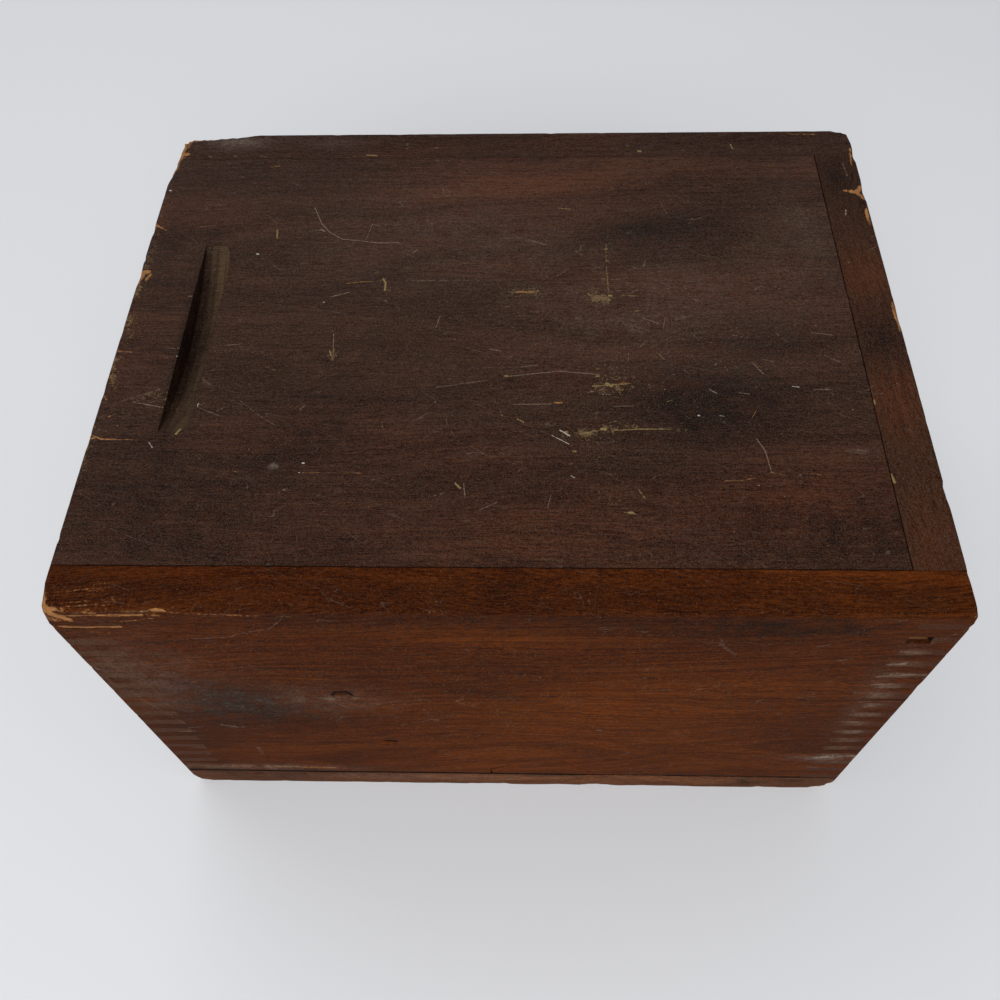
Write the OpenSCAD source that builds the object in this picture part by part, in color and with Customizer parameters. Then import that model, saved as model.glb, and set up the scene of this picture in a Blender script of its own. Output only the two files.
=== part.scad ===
// Candle box with a sliding lid: six wooden boards, finger-jointed corners and a nailed bottom.
// All sizes are in millimetres. The origin is under the middle of the box, on its underside.
// +Z is up, -Y is the front, +X is the closed end, and the lid slides out towards -X.

/* [Box] */
// Length of the box, from the end where the lid comes out to the closed end
box_l = 260; // [220:1:320]
// Depth of the box, from front to back
box_d = 208; // [170:1:260]
// Height of the box, to the top of its closed lid
box_h = 159; // [120:1:200]

/* [Boards] */
// Thickness of the front and back boards
wall_t = 14.5; // [12:0.5:18]
// Thickness of the closed end board
closed_end_t = 15; // [12:0.5:18]
// Thickness of the low end board that the lid slides over
lid_end_t = 15.5; // [12:0.5:18]
// Thickness of the bottom board
bottom_t = 14.5; // [10:0.5:18]

/* [Finger joints] */
// Width of a finger, of the gap beside it and of the lid's groove, which the same saw cut
finger_w = 4.25; // [3.5:0.05:5]
// Finger rows that the lid and its groove take up, counted down from the top, an even number
rows_per_lid = 4; // [4:2:6]
// Distance from the top of the low end board down to its first finger
first_finger_drop = 2; // [0:0.25:4]

/* [Lid] */
// Depth of the groove that the lid's tongue runs in
groove_depth = 7; // [5:0.5:9]
// Clearance all round the lid, above and below its tongue and at its seams
lid_gap = 0.3; // [0.2:0.05:0.6]

/* [Finger grip] */
// Length of the grip, across the lid
grip_l = 85; // [60:1:110]
// Width of the grip, along the lid
grip_w = 10; // [8:0.5:14]
// Depth of the grip at its deepest, in the middle
grip_depth = 8; // [5:0.5:9]
// Distance from the open end of the lid to the grip's upright wall
grip_inset = 21.3; // [16:0.1:30]
// Radius of the hollow between the grip's floor and its far side
grip_hollow_r = 4; // [2:0.5:6]

/* [Nails] */
// Length of a nail, under and over its head
nail_l = 38; // [30:1:44]
// Diameter of a nail's shank
nail_d = 2.2; // [1.8:0.1:3]
// Diameter of a nail's head
nail_head_d = 5; // [4:0.1:6.5]
// Thickness of a nail's head
nail_head_t = 1.2; // [0.8:0.1:1.8]
// Length of a nail's point
nail_point_l = 3.5; // [2:0.5:5]
// How far a nail's head is punched in below the underside
nail_sink = 0.4; // [0.2:0.1:1]
// Clearance round a nail in its hole
nail_gap = 0.05; // [0.02:0.01:0.1]
// Nails into each of the front and back boards
nails_per_wall = 4; // [3:1:6]
// Nails into each end board
nails_per_end = 3; // [2:1:4]
// Distance from each end of the box to the nearest nail in the front and back boards
wall_nail_inset = 32; // [25:1:45]
// Distance from the front and the back of the box to the nearest nail in an end board
end_nail_inset = 44; // [30:1:60]

/* [Wear] */
// Rounding of the outer edges, from handling
arris_r = 1; // [0.5:0.1:2.5]
// Rounding of the bottom board's two ends, from sliding the box about
foot_r = 5; // [3:0.5:8]

/* [Hidden] */
$fn = 96;
wood_colour = "#4f2c1e";
end_colour = "#5a3324";
lid_colour = "#43271d";
nail_colour = "#4a4643";
over = 1; // how far a cut runs on past a face
least_finger = 1; // a last finger thinner than this is left out

// Heights
groove_floor = box_h - rows_per_lid * finger_w;
groove_top = groove_floor + finger_w;
lid_underside = groove_floor + lid_gap;
tongue_top = groove_top - lid_gap;
nail_tip = nail_sink + nail_l;

// Half sizes between the boards
inner_y = box_d / 2 - wall_t;
closed_x = box_l / 2 - closed_end_t;
lid_end_x = -box_l / 2;

// The lid: its visible top, then its tongue
lid_top_x = closed_x - lid_gap;
lid_top_y = inner_y - lid_gap;
tongue_x = closed_x + groove_depth - lid_gap;
tongue_y = inner_y + groove_depth - lid_gap;

// The grip is a plunge cut, so its floor is an arc through the grip's two ends
grip_r = (grip_l * grip_l / 4 + grip_depth * grip_depth) / (2 * grip_depth);
grip_corner_r = min(grip_hollow_r, grip_w / 2);

// Height ranges [low, high] of an end board's fingers, from its first one down to the bottom board
function fingers_from(first_top) = [
    for (high = [first_top : -2 * finger_w : bottom_t])
        let (low = max(high - finger_w, bottom_t))
            if (high - low > least_finger) [low, high]
];
closed_fingers = fingers_from(box_h - finger_w);
lid_end_fingers = fingers_from(groove_floor - first_finger_drop);

// Evenly spaced places from -reach to reach
function row(count, reach) = [for (i = [0 : count - 1]) -reach + 2 * reach * i / (count - 1)];

wall_nail_spots = [
    for (x = row(nails_per_wall, box_l / 2 - wall_nail_inset), side = [-1, 1])
        [x, side * (box_d - wall_t) / 2]
];
end_nail_spots = [
    for (y = row(nails_per_end, box_d / 2 - end_nail_inset),
         x = [(lid_end_t - box_l) / 2, (box_l - closed_end_t) / 2])
        [x, y]
];
nail_spots = concat(wall_nail_spots, end_nail_spots);

// ---- Helpers ----

// A bar of a joint's profile for each finger, from low to high along the board
module finger_bars(fingers, from, to) {
    for (f = fingers) translate([from, f[0]]) square([to - from, f[1] - f[0]]);
}

// A rectangle from [-w/2, 0] to [w/2, h] with its lower and upper corners rounded
module rounded_outline(w, h, lower_r, upper_r) {
    difference() {
        translate([-w / 2, 0]) square([w, h]);
        for (side = [0, 1]) mirror([side, 0]) {
            outline_corner(w / 2, 0, lower_r, 1);
            outline_corner(w / 2, h, upper_r, -1);
        }
    }
}

// What a rounding takes off the corner at [x, y]; up is 1 for a lower corner and -1 for an upper one
module outline_corner(x, y, r, up) {
    translate([x - r, y + up * r]) difference() {
        translate([0, up > 0 ? -r - over : 0]) square([r + over, r + over]);
        circle(r);
    }
}

// The whole box as one block with worn edges, which every board is held to
module worn_block() {
    intersection() {
        translate([0, box_d / 2, 0]) rotate([90, 0, 0])
            linear_extrude(box_d) rounded_outline(box_l, box_h, foot_r, arris_r);
        translate([-box_l / 2, 0, 0]) rotate([90, 0, 90])
            linear_extrude(box_l) rounded_outline(box_d, box_h, arris_r, arris_r);
        translate([0, -box_d / 2, 0])
            linear_extrude(box_h) rounded_outline(box_l, box_d, arris_r, arris_r);
    }
}

// Holes for the nails: shanks and points in the walls, shanks and heads in the bottom
module nail_holes() {
    for (spot = nail_spots) translate([spot[0], spot[1], 0]) {
        cylinder(d = nail_d + 2 * nail_gap, h = nail_tip + nail_gap);
        translate([0, 0, -over])
            cylinder(d = nail_head_d + 2 * nail_gap, h = over + nail_sink + nail_head_t);
    }
}

// ---- Boards ----

// A long wall at the front: sockets for both end boards' fingers, and the lid's groove
module long_wall() {
    difference() {
        intersection() {
            translate([0, -inner_y, 0]) rotate([90, 0, 0]) linear_extrude(wall_t) difference() {
                translate([-box_l / 2, bottom_t]) square([box_l, box_h - bottom_t]);
                finger_bars(closed_fingers, closed_x, box_l / 2 + over);
                finger_bars(lid_end_fingers, lid_end_x - over, lid_end_x + lid_end_t);
            }
            worn_block();
        }
        translate([-box_l / 2 - over, -inner_y - groove_depth, groove_floor])
            cube([box_l + 2 * over, groove_depth + over, finger_w]);
        nail_holes();
    }
}

module front_board() {
    color(wood_colour) long_wall();
}

module back_board() {
    color(wood_colour) mirror([0, 1, 0]) long_wall();
}

// An end board between the long walls, with its fingers run out to their outer faces
module end_wall(thickness, top, fingers) {
    rotate([90, 0, 90]) linear_extrude(thickness) {
        translate([-inner_y, bottom_t]) square([2 * inner_y, top - bottom_t]);
        finger_bars(fingers, -box_d / 2, box_d / 2);
    }
}

module closed_end_board() {
    color(end_colour) difference() {
        intersection() {
            translate([closed_x, 0, 0]) end_wall(closed_end_t, box_h, closed_fingers);
            worn_block();
        }
        // The groove runs right through, so its end shows in the joint at the front
        translate([closed_x - over, -box_d / 2 - over, groove_floor])
            cube([groove_depth + over, box_d + 2 * over, finger_w]);
        nail_holes();
    }
}

module lid_end_board() {
    color(end_colour) difference() {
        intersection() {
            translate([lid_end_x, 0, 0]) end_wall(lid_end_t, groove_floor, lid_end_fingers);
            worn_block();
        }
        nail_holes();
    }
}

module bottom_board() {
    color(wood_colour) difference() {
        intersection() {
            translate([-box_l / 2, -box_d / 2, 0]) cube([box_l, box_d, bottom_t]);
            worn_block();
        }
        nail_holes();
    }
}

// ---- Lid ----

// The saw's disc that cut the grip, on an axis along X, with its inner rim worn round
module grip_cutter() {
    rim = grip_r - grip_corner_r;
    translate([lid_end_x + grip_inset, 0, box_h - grip_depth + grip_r]) rotate([0, 90, 0])
        rotate_extrude() {
            square([rim, grip_w]);
            square([grip_r, grip_w - grip_corner_r]);
            translate([rim, grip_w - grip_corner_r]) intersection() {
                circle(grip_corner_r);
                square(grip_corner_r);
            }
        }
}

module sliding_lid() {
    color(lid_colour) difference() {
        intersection() {
            union() {
                translate([lid_end_x, -lid_top_y, lid_underside])
                    cube([lid_top_x - lid_end_x, 2 * lid_top_y, box_h - lid_underside]);
                translate([lid_end_x, -tongue_y, lid_underside])
                    cube([tongue_x - lid_end_x, 2 * tongue_y, tongue_top - lid_underside]);
            }
            worn_block();
        }
        grip_cutter();
    }
}

// ---- Nails ----

// A wire nail, point up, with its head's underside against the bottom board
module nail() {
    shank_top = nail_l - nail_point_l;
    cylinder(d = nail_head_d, h = nail_head_t);
    cylinder(d = nail_d, h = shank_top);
    translate([0, 0, shank_top]) cylinder(d1 = nail_d, d2 = 0, h = nail_point_l);
}

module bottom_nails() {
    color(nail_colour) for (spot = nail_spots) translate([spot[0], spot[1], nail_sink]) nail();
}

front_board();
back_board();
closed_end_board();
lid_end_board();
bottom_board();
sliding_lid();
bottom_nails();
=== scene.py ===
"""Looks of an antique candle box: six worn, dark-finished boards, their nails and a plain studio.

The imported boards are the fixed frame. Each board is dressed by a finer copy of its own solid, with
rounded edges, chips, dents and scratches worked into the mesh. Its finish is aged wood, in which
grain, grime, bare wood and pale scuffs follow what the mesh holds, all laid out in millimetres.
"""

from __future__ import annotations

import logging
import math
import random
from bisect import bisect
from collections import defaultdict
from collections.abc import Callable, Iterable, Sequence
from dataclasses import dataclass, field, replace
from enum import Enum
from functools import partial

import bmesh
import bpy
import numpy as np
from mathutils import Matrix, Vector, noise

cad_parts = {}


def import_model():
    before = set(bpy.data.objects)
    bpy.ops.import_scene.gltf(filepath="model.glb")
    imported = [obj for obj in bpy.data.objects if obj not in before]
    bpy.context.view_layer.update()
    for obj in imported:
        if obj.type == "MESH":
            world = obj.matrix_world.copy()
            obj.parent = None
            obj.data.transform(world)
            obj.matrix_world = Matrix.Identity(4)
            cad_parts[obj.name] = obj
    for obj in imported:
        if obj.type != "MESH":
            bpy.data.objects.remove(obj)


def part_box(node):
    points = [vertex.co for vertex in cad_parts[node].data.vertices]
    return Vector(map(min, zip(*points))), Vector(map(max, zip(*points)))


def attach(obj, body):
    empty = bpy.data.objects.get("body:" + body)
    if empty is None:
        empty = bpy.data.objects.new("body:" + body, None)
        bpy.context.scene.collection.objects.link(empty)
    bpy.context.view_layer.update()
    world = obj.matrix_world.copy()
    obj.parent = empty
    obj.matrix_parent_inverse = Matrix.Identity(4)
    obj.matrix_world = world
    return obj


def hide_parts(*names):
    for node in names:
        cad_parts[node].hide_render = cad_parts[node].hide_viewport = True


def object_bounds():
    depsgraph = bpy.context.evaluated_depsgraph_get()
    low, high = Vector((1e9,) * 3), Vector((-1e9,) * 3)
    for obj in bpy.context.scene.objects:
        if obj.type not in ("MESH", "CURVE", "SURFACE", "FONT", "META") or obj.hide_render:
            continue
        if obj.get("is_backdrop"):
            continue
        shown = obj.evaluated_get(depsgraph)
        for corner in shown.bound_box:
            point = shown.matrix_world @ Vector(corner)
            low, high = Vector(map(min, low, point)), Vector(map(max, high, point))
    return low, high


LOG = logging.getLogger("candle_box")
MM = 0.001  # metres in a millimetre
PER_METRE = 1000.0  # millimetres in a metre
TINY = 2e-6  # metres within which a point counts as lying on a plane
BOX_MIDDLE = Vector((0, 0, 0.08))  # in metres

ON_FACE = 0.02  # millimetres within which it counts as lying on an outer face
MARGIN = 0.1  # millimetres by which a test of where something lies is eased or tightened

# Distances in mm under an outer face, and under a seam's edge, at which a board's mesh is cut
EDGE_STEPS = (0.35, 0.8, 1.4, 2.2, 3.2, 4.6)
SEAM_STEPS = (0.25, 0.6)

# Outputs of shader nodes other than the first, and the settings of a Mix node that mixes colours
OBJECT_PLACE = 3  # Texture Coordinate: place in the object's own coordinates
AS_NUMBER = 2  # Attribute: what the mesh holds, as a number
AS_COLOUR = 1  # Noise Texture: three patterns at once
LENGTH = 1  # Vector Math: a number
OF_COLOURS = {"output": 2, "data_type": "RGBA"}  # its two colours are inputs 6 and 7

# Mesh attributes that the wood's finish reads
NOTED = (
    "warm", "dark", "specks", "haze", "bare", "worn", "raw", "endgrain", "hollow", "seam",
    "scratch", "fleck", "white", "dent",
)

Socket = bpy.types.NodeSocket
Add = Callable[..., Socket]  # wire() for one material
Faces = list[bmesh.types.BMFace]
Place = tuple[float, float]  # millimetres from the box's near left bottom corner, along a face's axes


def linear(hex_colour: str) -> tuple[float, float, float, float]:
    """Turns an sRGB hex colour into the linear colour that a shader takes.

    Args:
        hex_colour: Six hex digits after a hash sign.

    Returns:
        Red, green and blue from 0 to 1, and an alpha of 1.
    """
    parts = [int(hex_colour[i : i + 2], 16) / 255 for i in (1, 3, 5)]
    red, green, blue = (c / 12.92 if c <= 0.04045 else ((c + 0.055) / 1.055) ** 2.4 for c in parts)
    return red, green, blue, 1.0


def wire(
    tree: bpy.types.NodeTree,
    kind: str,
    inputs: dict[int | str, object],
    output: int = 0,
    **settings: object,
) -> Socket | None:
    """Adds a node, sets it up and links it.

    Args:
        tree: The material's node tree.
        kind: The node's type, without the word that all shader nodes start with.
        inputs: Each input by number or name, with a value or the socket that feeds it.
        output: Which output to hand back.
        **settings: The node's own properties.

    Returns:
        The output socket, or nothing for a node that has none.
    """
    node = tree.nodes.new(f"ShaderNode{kind}")
    for name, value in settings.items():
        setattr(node, name, value)
    for key, value in inputs.items():
        if isinstance(value, Socket):
            tree.links.new(value, node.inputs[key])
        else:
            node.inputs[key].default_value = value
    return node.outputs[output] if node.outputs else None


def new_material(name: str) -> tuple[bpy.types.Material, Add]:
    """Makes a material that has no nodes yet.

    Args:
        name: The finish's name.

    Returns:
        The material, and what adds a node to it.
    """
    material = bpy.data.materials.new(name)
    material.use_nodes = True
    material.node_tree.nodes.clear()
    return material, partial(wire, material.node_tree)


class Grain(Enum):
    """The way a board's grain runs, as the turn about Z that brings it onto X."""

    ALONG_BOX = 0.0
    ACROSS_BOX = -math.pi / 2


class Face(Enum):
    """An outer face of the box."""

    TOP = (0, 1, 2, 1)
    FRONT = (0, 2, 1, -1)
    BACK = (0, 2, 1, 1)
    OPEN_END = (1, 2, 0, -1)
    CLOSED_END = (1, 2, 0, 1)

    def __init__(self, along: int, up: int, through: int, side: int) -> None:
        """Keeps how the face lies.

        Args:
            along: The axis of a place's first number.
            up: The axis of its second number.
            through: The axis that the face is square to.
            side: Which way it looks along that axis, 1 or -1.
        """
        self.along = along
        self.up = up
        self.through = through
        self.side = side


class Trace(Enum):
    """A kind of small mark."""

    SCRATCH = ("scratch", 0.05)  # pale hair line
    FLECK = ("fleck", -0.03)  # dab of old yellow paint or wax
    BARE = ("bare", 0.12)  # finish scraped off down to tan wood
    WHITE = ("white", -0.02)  # small glint of light put into the colour: a painted highlight
    DARK = ("dent", 0.45)  # knot, hole or crack, filled with grime
    HAZE = ("haze", 0.0)  # pale scuff or bloom on the finish

    def __init__(self, layer: str, depth: float) -> None:
        """Keeps the mesh attribute that holds the mark, and its depth in millimetres."""
        self.layer = layer
        self.depth = depth


class Tone(Enum):
    """What a soft area changes, by the mesh attribute that it adds to."""

    WARM = "warm"  # redder stain, and painted shade along the lid's front
    DARK = "dark"  # grime, and in a few places painted shade
    SPECKS = "specks"  # specks of dust and wax
    HAZE = "haze"  # pale bloom, and on the lid painted sheen
    BARE = "bare"  # finish worn off


# The marks with a colour of their own, by mesh attribute, and the most that each covers
MARK_PAINTS = (
    (Trace.SCRATCH.layer, "#8d7a69", 0.75),
    (Trace.FLECK.layer, "#8f7a4e", 0.85),
    # the glints are painted highlights: light put into the colour
    (Trace.WHITE.layer, "#b9b0a3", 0.95),
    (Trace.DARK.layer, "#0e0b0c", 1.0),
)


@dataclass(frozen=True)
class BoxSizes:
    """Sizes of the box in millimetres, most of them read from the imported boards."""

    length: float
    depth: float
    height: float
    wall: float
    closed_end: float
    lid_end: float
    bottom: float
    groove_floor: float
    finger: float = 4.25  # width of a joint's finger and of the lid's groove
    groove: float = 7.0  # depth of the lid's groove
    lid_gap: float = 0.3  # clearance beside the lid
    grip_at: float = -103.7  # place of the finger grip's middle, along the box
    grip_width: float = 10.0

    @classmethod
    def from_frame(cls) -> BoxSizes:
        """Reads the sizes from the boxes of the CAD nodes.

        Returns:
            The sizes.
        """
        low, high = (Vector(corner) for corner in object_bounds())
        size = (high - low) * PER_METRE
        spans = {}
        for node in ("front_board", "closed_end_board", "lid_end_board", "bottom_board"):
            start, end = (Vector(corner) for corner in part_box(node))
            spans[node] = (end - start) * PER_METRE
        return cls(
            length=size.x,
            depth=size.y,
            height=size.z,
            wall=spans["front_board"].y,
            closed_end=spans["closed_end_board"].x,
            lid_end=spans["lid_end_board"].x,
            bottom=spans["bottom_board"].z,
            groove_floor=spans["bottom_board"].z + spans["lid_end_board"].z,
        )

    @property
    def half(self) -> Vector:
        """Half the length and depth, and the whole height."""
        return Vector((self.length / 2, self.depth / 2, self.height))

    @property
    def inner_y(self) -> float:
        """Distance from the middle to the inner face of a long wall."""
        return self.depth / 2 - self.wall

    @property
    def closed_x(self) -> float:
        """Place of the closed end board's inner face."""
        return self.length / 2 - self.closed_end

    @property
    def lid_end_x(self) -> float:
        """Place of the low end board's inner face."""
        return self.lid_end - self.length / 2

    def on_face(self, face: Face, place: Place) -> Vector:
        """Turns a place on a face into a point of the box's frame.

        Args:
            face: The face.
            place: The place on it.

        Returns:
            The point, in millimetres.
        """
        corner = (-self.length / 2, -self.depth / 2, 0.0)
        point = self.half * face.side
        point[face.along] = corner[face.along] + place[0]
        point[face.up] = corner[face.up] + place[1]
        return point


@dataclass(frozen=True)
class Mark:
    """A small mark along a path of places, or at one place, with its width in millimetres."""

    trace: Trace
    path: tuple[Place, ...]
    width: float
    strength: float


@dataclass(frozen=True)
class Patch:
    """A large soft-edged area that differs from the wood round it."""

    tone: Tone
    at: Place
    reach: tuple[float, float]  # how far it goes along its two axes, in millimetres
    strength: float
    turn: float = 0.0  # in degrees


@dataclass(frozen=True)
class Chip:
    """Wood lost from an edge: its place from the near left bottom corner, reach and depth in mm."""

    at: tuple[float, float, float]
    reach: float
    depth: float


@dataclass(frozen=True)
class Seam:
    """A straight edge along which a board meets its neighbour, a little rounded by wear."""

    axes: tuple[int, int]  # the axes that its two faces are square to
    at: tuple[float, float]  # where the faces lie on those axes, in millimetres
    outward: tuple[int, int]  # on which side of each face the air is, 1 or -1
    radius: float = 0.2  # its rounding where it is least worn
    ragged: float = 0.45  # how much the rounding grows where it is most worn
    grime: float = 0.5  # how dark the dirt in it is, from 0 to 1
    reach: float = 0.7  # how far the dirt spreads from it, in millimetres
    widest: float = 1.5  # how far from it the rounding can reach, in millimetres
    worn_span: float = 3.1  # length of its worn and unworn stretches, in millimetres
    nick_span: float = 1.1  # length of its nicks

    def worn(self, point: Vector) -> Vector:
        """Moves a point that stands out of the rounding onto it.

        Args:
            point: A point of the board's surface, in millimetres.

        Returns:
            The point, or its new place.
        """
        first = (self.at[0] - point[self.axes[0]]) * self.outward[0]
        second = (self.at[1] - point[self.axes[1]]) * self.outward[1]
        if not (-0.01 < first < self.widest and -0.01 < second < self.widest):
            return point
        nicks = noise.noise(point / self.nick_span)
        rough = max(0.0, noise.noise(point / self.worn_span) + 0.35 * nicks)
        radius = self.radius + self.ragged * 2 * rough
        gap = (max(0.0, radius - first), max(0.0, radius - second))
        reach = math.hypot(*gap)
        if reach <= radius:
            return point
        moved = point.copy()
        for axis, place, side, part in zip(self.axes, self.at, self.outward, gap):
            if part > 0:
                moved[axis] = place - side * (radius - part * radius / reach)
        return moved

    def grime_at(self, points: np.ndarray) -> np.ndarray:
        """Spreads the dirt that lies in the seam.

        Args:
            points: Points of the board's surface, in millimetres.

        Returns:
            How much dirt lies at each of them.
        """
        first = (self.at[0] - points[:, self.axes[0]]) * self.outward[0]
        second = (self.at[1] - points[:, self.axes[1]]) * self.outward[1]
        near = np.clip(1 - np.maximum(first, second) / self.reach, 0, 1)
        return np.where(np.minimum(first, second) > -0.3, near * self.grime, 0)


@dataclass(frozen=True)
class EdgeWear:
    """How the box's outer edges have worn: a ragged rounding, and chips where it was knocked."""

    sizes: BoxSizes
    chips: Sequence[Chip]
    radius: float = 0.65  # the rounding where it is least, in millimetres
    ragged: float = 0.8  # how much it grows where it is most worn
    foot_radius: float = 1.0  # how much it grows at the foot
    worn_span: float = 9.0  # length of the worn and unworn stretches
    nick_span: float = 2.4  # length of the nicks
    chip_span: float = 1.9  # size of the crumbs that a chip's surface breaks into
    deepest: float = 7.0  # the most wood that a corner has lost

    def radius_at(self, point: Vector) -> float:
        """The rounding of the nearest edge to a point.

        Args:
            point: A point near the edge, in millimetres.

        Returns:
            The edge's radius there.
        """
        slow = 0.5 + 0.5 * noise.noise(point / self.worn_span)
        elsewhere = Vector((31.0, 7.0, 3.0))
        nick = max(0.0, noise.noise(point / self.nick_span + elsewhere) - 0.2)
        radius = self.radius + self.ragged * (slow * slow + 2.2 * nick)
        if point.z < self.deepest:
            radius += self.foot_radius * slow
        half = self.sizes.half
        for chip in self.chips:
            middle = Vector((chip.at[0] - half.x, chip.at[1] - half.y, chip.at[2]))
            gap = (middle - point).length / chip.reach
            if gap < 1:
                rough = 1 + 0.3 * noise.noise(point / self.chip_span)
                radius += chip.depth * (1 - gap * gap) * rough
        return min(radius, self.deepest)

    def worn(self, point: Vector) -> Vector:
        """Where a point of a board's surface lies after wear, as on a block with rounded edges.

        Args:
            point: The point on the unworn board, in millimetres.

        Returns:
            The worn place.
        """
        half = self.sizes.half
        sides = (math.copysign(1, point.x), math.copysign(1, point.y), 1 if point.z > half.z / 2 else -1)
        outer = (sides[0] * half.x, sides[1] * half.y, half.z if sides[2] > 0 else 0.0)
        depths = [side * (place - value) for side, place, value in zip(sides, outer, point)]
        if sorted(depths)[1] > self.deepest:
            return point
        radius = self.radius_at(point)
        gap = Vector([max(0.0, radius - depth) for depth in depths])
        if gap.length <= radius:
            return point
        moved = point.copy()
        for axis in range(3):
            if gap[axis] > 0:
                moved[axis] = outer[axis] - sides[axis] * (radius - gap[axis] * radius / gap.length)
        return moved


@dataclass(frozen=True)
class Patterns:
    """What a board's finish is mixed from; each pattern runs from 0 to 1."""

    point: Socket  # place on the box, in millimetres
    wood: Socket  # the same place in the tree that the board came from, with X along the grain
    mesh: dict[str, Socket]  # what the mesh holds, by the attribute's name
    rings: Socket  # growth rings
    fibres: Socket  # long fine fibres
    grit: Socket  # short torn fibres
    pores: Socket  # open pores
    patchy: Socket  # uneven areas about 6 mm across
    broken: Socket  # crumbs about 1 mm across, which tear the edges of marks


@dataclass(frozen=True)
class AgedWood:
    """Brown hardwood under old varnish: planed, stained dark, and rubbed by a century of hands.

    The eye reads fine straight fibres, soft bands from the growth rings, a dull sheen that shows
    only at a low angle, and tan bare wood wherever the varnish has gone.
    """

    name: str
    dark: str = "#201511"  # darkest fibres under the varnish
    light: str = "#473127"  # lightest fibres under it
    warm: str = "#56301f"  # redder areas
    grime: str = "#191312"  # dirt in smudges, and painted shade in a few of them
    end_dark: str = "#32211a"  # darkest end grain
    end_light: str = "#6b4a38"  # lightest end grain
    scuff_and_sheen: str = "#8e8177"  # pale scuffs and bloom, and painted sheen
    bare: str = "#94673f"  # freshly chipped wood
    hollow: str = "#4a3a29"  # rubbed wood in the finger grip, lightened on its floor as painted light
    raw: str = "#6d4a30"  # unvarnished wood inside the box
    pore: str = "#100907"  # dirt in the open pores
    rubbed: str = "#6b4a35"  # varnish rubbed thin along edges
    hair: str = "#8b7a6c"  # the faintest scratches
    wax: str = "#7d6748"  # specks of dust and wax
    seam: str = "#0c0806"  # dirt in the seams between boards
    gloss: str = "#f0dccb"  # tint of the varnish's sheen

    seed: float = 0.0  # gives each board its own figure
    pith: tuple[float, float] = (38.0, -95.0)  # place of the tree's heart across the grain, in mm
    ring_spacing: float = 3.2  # millimetres from ring to ring
    slope: float = 0.0  # how steeply the grain climbs along the board, in radians
    sway: float = 30.0  # how far the grain wanders from side to side, in millimetres
    fibre_share: float = 0.55  # share of fine fibres in the figure; the rest is growth rings
    grit_share: float = 0.38  # share of short fibres laid over both
    softness: float = 0.16  # half the range over which fibres go from dark to light
    cloudiness: float = 0.2  # how much redder the clouds in the stain are

    fibre_per_mm: float = 1.3  # fibres drawn about 0.8 mm apart, coarser than real ones, to show
    grit_per_mm: float = 2.1  # torn fibres about 0.5 mm apart
    pore_per_mm: float = 2.4  # pores about 0.4 mm apart
    patch_per_mm: float = 0.16
    crumb_per_mm: float = 0.95
    dust_per_mm: float = 1.3  # specks of wax about 0.8 mm apart
    speckle_per_mm: float = 2.6  # grains of dust and painted sheen about 0.4 mm across
    speckle: float = 0.06  # how much the grains lighten or darken the colour
    blackest: float = 0.0012  # least linear colour left between the grains
    sheen: float = 0.07  # the varnish's shine, on the shader's own scale
    roughness: float = 0.52
    bare_roughness: float = 0.85
    relief: float = 0.12 * MM

    def build(self, grain: Grain) -> bpy.types.Material:
        """Makes the material.

        Args:
            grain: The way the board's grain runs.

        Returns:
            The material.
        """
        material, add = new_material(self.name)
        seen = self._patterns(add, grain)
        colour = self._ends_and_inside(add, seen, self._stained(add, seen))
        filled = add("Math", {0: seen.pores, 1: 0.35}, operation="MULTIPLY")
        colour = add("Mix", {0: filled, 6: colour, 7: linear(self.pore)}, **OF_COLOURS)
        colour = self._speckled(add, seen, self._scuffed(add, seen, colour))
        bare = self._bare(add, seen)
        tan = self._shade(add, self.bare, seen.fibres, (0.6, 1.2))
        colour = add("Mix", {0: bare, 6: colour, 7: tan}, **OF_COLOURS)
        for name, hex_colour, most in (*MARK_PAINTS, ("seam", self.seam, 1.25)):
            cover = self._ragged(add, seen, name, most)
            colour = add("Mix", {0: cover, 6: colour, 7: linear(hex_colour)}, **OF_COLOURS)
        self._surface(add, seen, colour, bare)
        return material

    def _patterns(self, add: Add, grain: Grain) -> Patterns:
        """Draws the patterns that the finish is mixed from.

        Args:
            add: Adds a node to the material.
            grain: The way the board's grain runs.

        Returns:
            The patterns.
        """
        place = add("TexCoord", {}, OBJECT_PLACE)
        point = add("Mapping", {0: place, 3: (PER_METRE,) * 3})
        shift = (self.seed * 370, self.seed * 113, self.seed * 61)
        wood = add("Mapping", {0: point, 1: shift, 2: (0, self.slope, grain.value)})
        slow = add("VectorMath", {0: wood, 1: (0.009, 0.03, 0.03)}, operation="MULTIPLY")
        drift = add("TexNoise", {0: slow, 2: 1.0, 3: 1.0, 4: 0.5}, AS_COLOUR)
        centred = add("VectorMath", {0: drift, 1: (0.5,) * 3}, operation="SUBTRACT")
        sway = add("VectorMath", {0: centred, 1: (0, self.sway, self.sway)}, operation="MULTIPLY")
        bent = add("VectorMath", {0: wood, 1: sway}, operation="ADD")
        lines = []
        for along, across, detail in (
            (0.03, self.fibre_per_mm, 3.0),
            (0.5, self.grit_per_mm, 1.0),
            (0.2, self.pore_per_mm, 0.0),
        ):
            squeezed = add("VectorMath", {0: bent, 1: (along, across, across)}, operation="MULTIPLY")
            lines.append(add("TexNoise", {0: squeezed, 2: 1.0, 3: detail, 4: 0.7}))
        return Patterns(
            point=point,
            wood=wood,
            mesh={name: add("Attribute", {}, AS_NUMBER, attribute_name=name) for name in NOTED},
            rings=self._rings(add, bent, shift),
            fibres=lines[0],
            grit=lines[1],
            pores=add("MapRange", {0: lines[2], 1: 0.6, 2: 0.72}),
            patchy=add("TexNoise", {0: point, 2: self.patch_per_mm, 3: 3.0, 4: 0.65}),
            broken=add("TexNoise", {0: point, 2: self.crumb_per_mm, 3: 3.0, 4: 0.75}),
        )

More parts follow.
